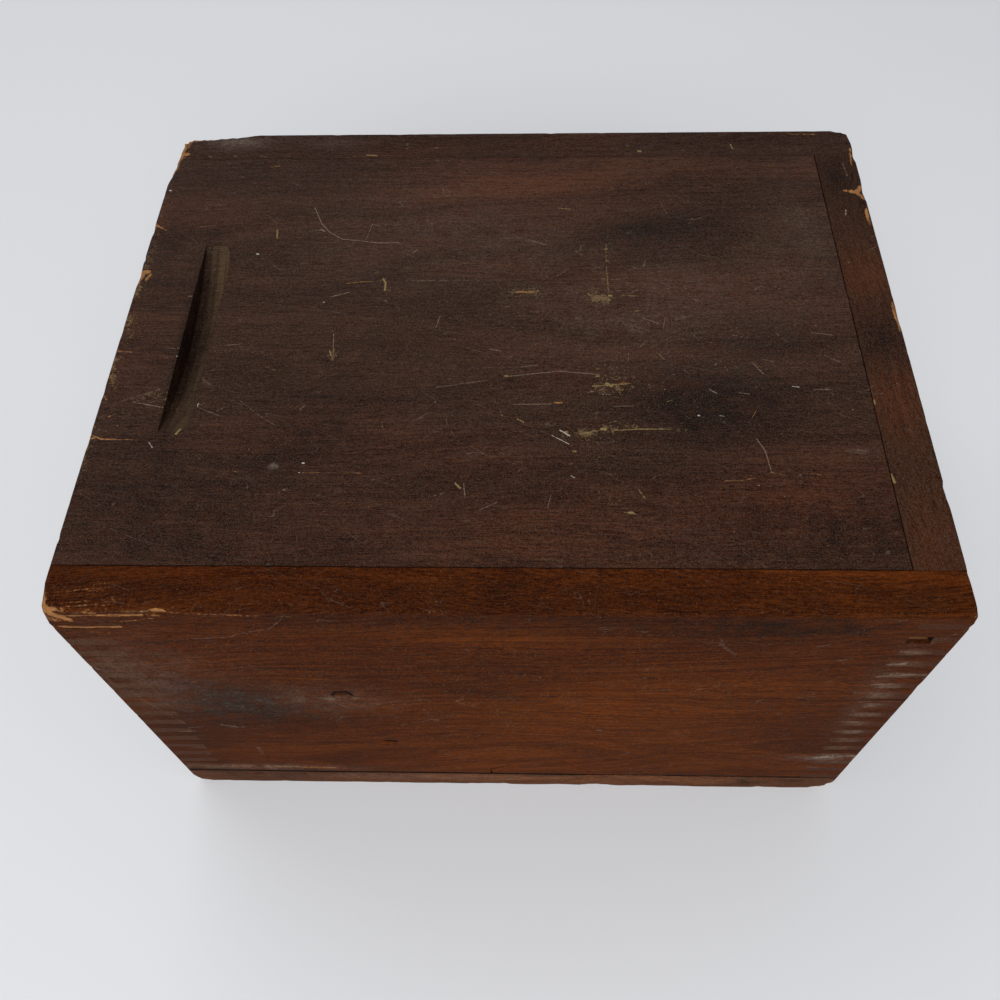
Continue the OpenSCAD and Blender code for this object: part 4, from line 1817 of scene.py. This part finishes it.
FRONT_MARKS = (
    *listed(
        Trace.SCRATCH,
        (
            0.45, 0.6, (32.7, 139.5), (46.8, 142), (50.5, 142.5), (53.2, 144.5), (63.5, 148.2),
            (68.5, 154.8),
        ),
        (0.6, 0.6, (47.8, 141.8), (51, 142.5), (53.2, 144.5)), (0.4, 0.35, (31, 126.2), (49.5, 129.5)),
        (0.4, 0.3, (20, 121.3), (35.8, 121.7), (67.5, 124)),
    ),
    *listed(Trace.HAZE, (1.8, 0.45, (2, 117.7), (4.3, 115.5)), (1.2, 0.35, (2.5, 110.5), (2.5, 106.2))),
    *listed(Trace.SCRATCH, (0.6, 0.55, (3, 102), (6.5, 100.3), (7.5, 91.5), (15, 68.3))),
    *listed(
        Trace.HAZE,
        (1.3, 0.5, (10.7, 59.8), (16.5, 61)), (1.1, 0.5, (28, 67.7), (33.2, 65.8)),
        (1.3, 0.35, (35.5, 66)), (1.8, 0.35, (35.5, 44), (35.5, 37)),
        (0.9, 0.4, (15.3, 64.2), (20.7, 65.5)), (1.6, 0.3, (9, 42), (15, 42)),
    ),
    *listed(
        Trace.SCRATCH,
        (0.8, 0.4, (28, 99), (32, 101)),
        (0.45, 0.45, (65.5, 113.5), (83.2, 115.7), (98, 120.8), (110.7, 126.5), (117.5, 128)),
        (0.6, 0.5, (75.5, 123.5), (78, 123.5)),
    ),
    *listed(Trace.WHITE, (0.7, 0.6, (114, 93.5))),
    *listed(
        Trace.SCRATCH,
        (0.5, 0.4, (110.8, 92.5), (115, 93.5)), (0.6, 0.3, (116, 70.5), (122, 60.5)),
        (0.8, 0.35, (125, 101.8), (127.3, 101)), (1.0, 0.3, (169.5, 149.5), (169.5, 139.5)),
    ),
    *listed(Trace.WHITE, (0.5, 0.6, (177.2, 104))),
    *listed(
        Trace.SCRATCH,
        (0.7, 0.7, (179.7, 104.5), (183, 105)), (0.6, 0.6, (191, 105.7), (195, 106.2)),
        (0.5, 0.5, (177.5, 95.3), (179.7, 95.5)), (0.8, 0.8, (161.5, 66.5), (163.5, 66.5)),
        (0.5, 0.45, (173.2, 65.3), (183, 65.5)),
    ),
    *listed(Trace.WHITE, (0.9, 0.5, (219.3, 56.2)), (0.7, 0.4, (220.5, 52)), (0.6, 0.5, (203, 109))),
    *listed(Trace.SCRATCH, (0.7, 0.5, (221.3, 40.5), (241.5, 41.3))),
    *listed(
        Trace.HAZE,
        (2.4, 0.95, (244.5, 39.5), (253.8, 40.5), (259.7, 42)), (1.6, 0.35, (245, 28.2), (249, 27)),
        (2.0, 0.85, (245.3, 126.5), (249.7, 127.5)),
        (1.8, 0.7, (245, 117.3), (252.5, 119), (258.5, 119.2)),
    ),
    *listed(Trace.WHITE, (0.6, 0.5, (248, 119), (250.5, 120.5))),
    *listed(
        Trace.HAZE,
        (1.2, 0.7, (245, 111), (248.5, 111)), (1.5, 0.45, (246, 136), (254.5, 135)),
        (1.5, 0.4, (244.3, 96.5), (258, 96.8)), (1.2, 0.3, (241.5, 104), (257, 104.5)),
        (1.4, 0.4, (245.5, 84.5), (255.2, 84.8)), (1.2, 0.3, (244.5, 77.7), (256, 77)),
        (1.4, 0.4, (244.8, 67.7), (254, 68)), (1.2, 0.3, (246.5, 57.2), (255.5, 58.5)),
        (1.1, 0.35, (229.2, 129.2), (233.2, 130.8)), (1.0, 0.3, (221, 139), (224.2, 140.5)),
        (1.6, 0.25, (193, 140), (198.5, 133)),
    ),
    *listed(
        Trace.DARK,
        (2.72, 1.0, (72.8, 97), (74.2, 99.6), (78, 99.8), (79.2, 97)),
        (3.2, 0.75, (74.5, 98), (78, 98)),
    ),
    *listed(Trace.HAZE, (2.6, 0.35, (69, 94.5), (74, 93.5), (82, 94.5))),
    *listed(Trace.DARK, (1.12, 0.4, (79, 97), (81.7, 94.5))),
    *listed(Trace.HAZE, (1.3, 0.5, (74, 96), (77, 95.2))),
    *listed(
        Trace.DARK,
        (3.52, 1.0, (85.4, 52.3), (88.6, 51.6)), (0.96, 0.5, (83.2, 51.5), (85.5, 51.5)),
        (2.56, 0.85, (45.8, 11), (47.5, 11)), (2.56, 0.6, (27.5, 11.5), (30.5, 10.2)),
        (1.44, 0.5, (35.2, 32), (37, 32.2)), (1.44, 0.7, (64.3, 17), (66.3, 17)),
        (0.96, 0.85, (132.5, 27.3), (122.8, 20.5), (123, 15.5)), (0.8, 0.4, (149.7, 33), (162, 18.5)),
        (1.44, 0.6, (33, 142.8)), (1.28, 0.6, (15.5, 104)), (1.6, 0.8, (34.5, 156.7), (36, 155.5)),
        (2.88, 0.6, (222, 10.5), (225.8, 6.5)), (1.92, 0.4, (237.7, 12.5), (246.2, 10)),
        (1.9, 0.75, (161, 14.4), (172, 14.6), (178, 14.2), (192, 14.5)),
        (1.6, 0.6, (166, 12.6), (170, 12.4)), (1.2, 0.5, (196, 14.5), (236, 14.4)),
    ),
    *listed(
        Trace.BARE,
        (1.6, 0.8, (2.8, 148.5), (11.3, 148), (20.5, 148.7)), (0.7, 0.4, (10.3, 145), (16, 144.5)),
        (2.4, 0.8, (2.2, 157.5), (7.5, 153)), (1.6, 0.6, (5.7, 155.5), (29, 156.5)),
        (0.9, 0.5, (21.5, 152), (34, 154.8)), (0.9, 0.5, (29.5, 158.5), (71, 156)),
        (1.5, 0.45, (16, 21.5), (35, 21), (60.7, 19.5)), (1.6, 0.3, (126, 6.2), (160.5, 6.5)),
    ),
)
LID_PATCHES = (
    Patch(Tone.WARM, (135, 178), (42, 13), 0.35),
    Patch(Tone.WARM, (222, 38), (30, 14), 0.5),
    Patch(Tone.WARM, (150, 28), (60, 12), 0.25),
    Patch(Tone.DARK, (190, 72), (26, 13), 1.3),
    Patch(Tone.DARK, (182, 152), (22, 8), 1.2),
    Patch(Tone.DARK, (66, 60), (14, 30), 0.7, -48),
    Patch(Tone.DARK, (20, 45), (25, 18), 0.7),
    Patch(Tone.DARK, (100, 100), (40, 9), 0.6),
    Patch(Tone.DARK, (55, 175), (20, 10), 0.5),
    Patch(Tone.DARK, (215, 100), (22, 6), 0.6),
    Patch(Tone.DARK, (125, 45), (60, 10), 0.5),
    Patch(Tone.DARK, (232, 30), (44, 20), 0.8),
    # dirt and painted shade on the finger grip's steep left wall
    Patch(Tone.DARK, (24, 104), (3.2, 38), 2.4),
    Patch(Tone.DARK, (40, 20), (50, 12), 0.4),
    Patch(Tone.DARK, (10, 150), (10, 30), 0.5),
    Patch(Tone.SPECKS, (158, 95), (30, 44), 0.6),
    Patch(Tone.SPECKS, (195, 105), (26, 16), 0.35),
    Patch(Tone.SPECKS, (172, 63.5), (15, 1.8), 2.4),
    Patch(Tone.SPECKS, (152, 62), (6, 2.2), 2.2),
    Patch(Tone.SPECKS, (163, 81), (6, 3), 2.4),
    Patch(Tone.SPECKS, (161, 119), (4, 3.5), 2.4),
    Patch(Tone.SPECKS, (163, 131), (2.5, 5), 1.8),
    Patch(Tone.SPECKS, (136, 122), (8, 1.6), 1.8),
    Patch(Tone.SPECKS, (88, 126), (2.4, 4), 1.8),
    Patch(Tone.SPECKS, (156, 55), (3, 3), 1.8),
    Patch(Tone.SPECKS, (162, 38), (4, 5), 1.8),
    Patch(Tone.SPECKS, (72.8, 94), (1.5, 3), 2.0),
    Patch(Tone.SPECKS, (20, 76), (14, 4), 1.6),
    Patch(Tone.SPECKS, (1, 100), (3, 70), 2.2),
    # Painted shade: a darker, redder band along the lid's front, where its sheen is weaker
    Patch(Tone.WARM, (50, 36), (60, 26), 0.1),
    Patch(Tone.WARM, (130, 18), (120, 18), 0.15),
    Patch(Tone.DARK, (110, 20), (120, 24), 0.35),
    Patch(Tone.DARK, (200, 90), (46, 26), 0.45),
    Patch(Tone.SPECKS, (60, 150), (26, 22), 0.5),
    # Painted sheen: pale grey areas on the lid's middle and back, where it reflects the bright room
    Patch(Tone.HAZE, (110, 150), (50, 26), 0.08),
    Patch(Tone.HAZE, (185, 112), (52, 30), 0.09),
    Patch(Tone.HAZE, (235, 150), (14, 30), 0.08),
    Patch(Tone.BARE, (0, 131), (2.2, 4), 0.45),
    Patch(Tone.BARE, (0, 153), (1.6, 3), 0.45),
)
FRONT_PATCHES = (
    Patch(Tone.WARM, (160, 62), (70, 34), 0.55, 8),
    Patch(Tone.WARM, (140, 142), (34, 8), 0.4),
    Patch(Tone.WARM, (228, 108), (26, 30), 0.35, 20),
    Patch(Tone.WARM, (95, 22), (70, 7), 0.4),
    Patch(Tone.DARK, (38, 90), (19, 15), 1.7),
    Patch(Tone.DARK, (60, 76), (20, 13), 0.6),
    Patch(Tone.DARK, (215, 150), (34, 8), 0.8),
    Patch(Tone.HAZE, (38, 90), (20, 14), 0.1),
    Patch(Tone.DARK, (130, 154), (130, 8), 0.7),
    Patch(Tone.DARK, (122, 101), (17, 4), 0.7, -20),
    Patch(Tone.DARK, (16, 60), (15, 26), 0.5),
    Patch(Tone.HAZE, (14, 112), (20, 26), 0.2),
    Patch(Tone.HAZE, (70, 93), (20, 11), 0.2),
    Patch(Tone.HAZE, (34, 19.5), (34, 3.2), 0.5),
    Patch(Tone.BARE, (38, 19), (30, 2.0), 0.34),
    Patch(Tone.SPECKS, (130, 90), (130, 70), 0.8),
    Patch(Tone.DARK, (236, 80), (30, 50), 0.4),
    Patch(Tone.HAZE, (248, 38.5), (12, 3), 0.6),
    Patch(Tone.HAZE, (246, 100), (4, 34), 0.12),
    Patch(Tone.BARE, (16, 158), (20, 1.6), 0.4),
    Patch(Tone.BARE, (3, 154), (4, 4), 0.35),
    Patch(Tone.BARE, (34, 156), (12, 1.2), 0.3),
)
BACK_PATCHES = (
    Patch(Tone.DARK, (100, 204), (60, 8), 0.5),
    Patch(Tone.DARK, (220, 203), (40, 5), 0.6),
    Patch(Tone.HAZE, (22, 203), (11, 3.0), 0.55),
    Patch(Tone.HAZE, (60, 203), (14, 3), 0.14),
    Patch(Tone.BARE, (1.2, 201), (2.2, 3.5), 0.5),
)
END_PATCHES = (
    Patch(Tone.WARM, (252, 75), (9, 16), 0.7),
    Patch(Tone.WARM, (252, 130), (9, 14), 0.7),
    Patch(Tone.WARM, (252, 22), (9, 18), 0.4),
    Patch(Tone.DARK, (252, 100), (8, 12), 1.0),
    Patch(Tone.DARK, (252, 180), (8, 18), 1.0),
    Patch(Tone.BARE, (259, 173), (2.6, 3), 0.4),
    Patch(Tone.BARE, (260, 162), (1.2, 6), 0.3),
    Patch(Tone.BARE, (260, 110), (1.3, 5), 0.3),
    Patch(Tone.BARE, (260, 193), (1.5, 3), 0.3),
)
FINGER_PATCHES = (
    Patch(Tone.HAZE, (250, 108), (3.4, 32), 0.5),
    Patch(Tone.HAZE, (250.5, 62), (3.4, 24), 0.32),
    Patch(Tone.HAZE, (252, 39), (8, 4), 0.9),
    Patch(Tone.DARK, (259, 80), (4, 80), 1.2),
    Patch(Tone.DARK, (252, 148), (10, 8), 1.2),
)
BOTTOM_PATCHES = (
    Patch(Tone.WARM, (150, 9), (90, 5), 0.5),
    Patch(Tone.BARE, (130, 9.5), (60, 2.2), 0.2),
    Patch(Tone.HAZE, (95, 9), (34, 3), 0.3),
    Patch(Tone.DARK, (30, 8), (34, 7), 0.8),
    Patch(Tone.DARK, (150, 14), (14, 2), 1.2),
    Patch(Tone.DARK, (240, 8), (16, 6), 0.8),
    Patch(Tone.BARE, (259, 8), (2.5, 5), 0.5),
    Patch(Tone.DARK, (224, 8), (3, 5), 1.0),
)
REAR_PATCHES = (
    Patch(Tone.WARM, (90, 70), (70, 30), 0.5, 10),
    Patch(Tone.WARM, (220, 60), (26, 40), 0.4),
    Patch(Tone.DARK, (190, 112), (40, 22), 0.9, -15),
    Patch(Tone.DARK, (40, 40), (26, 30), 0.7),
    Patch(Tone.HAZE, (130, 22), (90, 5), 0.22),
    Patch(Tone.HAZE, (120, 110), (30, 16), 0.1),
)
CLOSED_END_PATCHES = (
    Patch(Tone.WARM, (112, 58), (56, 32), 0.5, -8),
    Patch(Tone.DARK, (56, 118), (34, 18), 0.8, 12),
    Patch(Tone.DARK, (184, 70), (20, 40), 0.5),
    Patch(Tone.HAZE, (100, 21), (70, 5), 0.2),
    Patch(Tone.HAZE, (130, 104), (24, 14), 0.12),
)
OPEN_END_PATCHES = (
    Patch(Tone.WARM, (96, 66), (50, 30), 0.5, 6),
    Patch(Tone.DARK, (152, 104), (34, 18), 0.9, -10),
    Patch(Tone.DARK, (28, 60), (18, 40), 0.5),
    Patch(Tone.HAZE, (104, 136), (60, 4), 0.25),
    Patch(Tone.HAZE, (70, 24), (50, 6), 0.18),
)
CHIPS = (
    Chip((0, 0, 159), 9, 2.6),
    Chip((0, 208, 159), 30, 5.0),
    Chip((260, 208, 159), 7, 2.2),
    Chip((260, 0, 159), 4, 1.0),
    Chip((259, 173, 159), 5, 1.6),
    Chip((260, 193, 159), 4, 1.2),
    Chip((260, 110, 159), 5, 0.9),
    Chip((0, 131, 159), 5, 1.2),
    Chip((0, 153.5, 159), 4, 0.9),
    Chip((0, 104, 159), 3, 0.4),
    Chip((0, 60, 159), 3, 0.6),
    Chip((0, 78, 159), 3, 0.5),
    Chip((34, 0, 158), 3.5, 2.2),
    Chip((81, 0, 156), 3.0, 1.0),
    Chip((260, 0, 0), 9, 3.5),
    Chip((0, 0, 0), 7, 2.5),
    Chip((166, 0, 0), 7, 2.0),
    Chip((0, 208, 0), 8, 2.6),
    Chip((260, 208, 0), 7, 2.2),
    Chip((118, 208, 0), 6, 1.6),
    Chip((260, 92, 0), 6, 1.6),
    Chip((0, 70, 0), 6, 1.6),
    Chip((260, 40, 159), 4, 0.8),
)


def main() -> None:
    """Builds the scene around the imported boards."""
    logging.basicConfig(level=logging.INFO, format="%(message)s")
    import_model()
    cad_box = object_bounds()
    bpy.context.scene.view_settings.view_transform = "Standard"
    Studio().make()
    sizes = BoxSizes.from_frame()
    CandleBox(sizes, EdgeWear(sizes, CHIPS)).make()
    boxes = {"cad": cad_box, "visual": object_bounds()}
    {name: [list(corner) for corner in box] for name, box in boxes.items()}


if __name__ == "__main__":
    main()
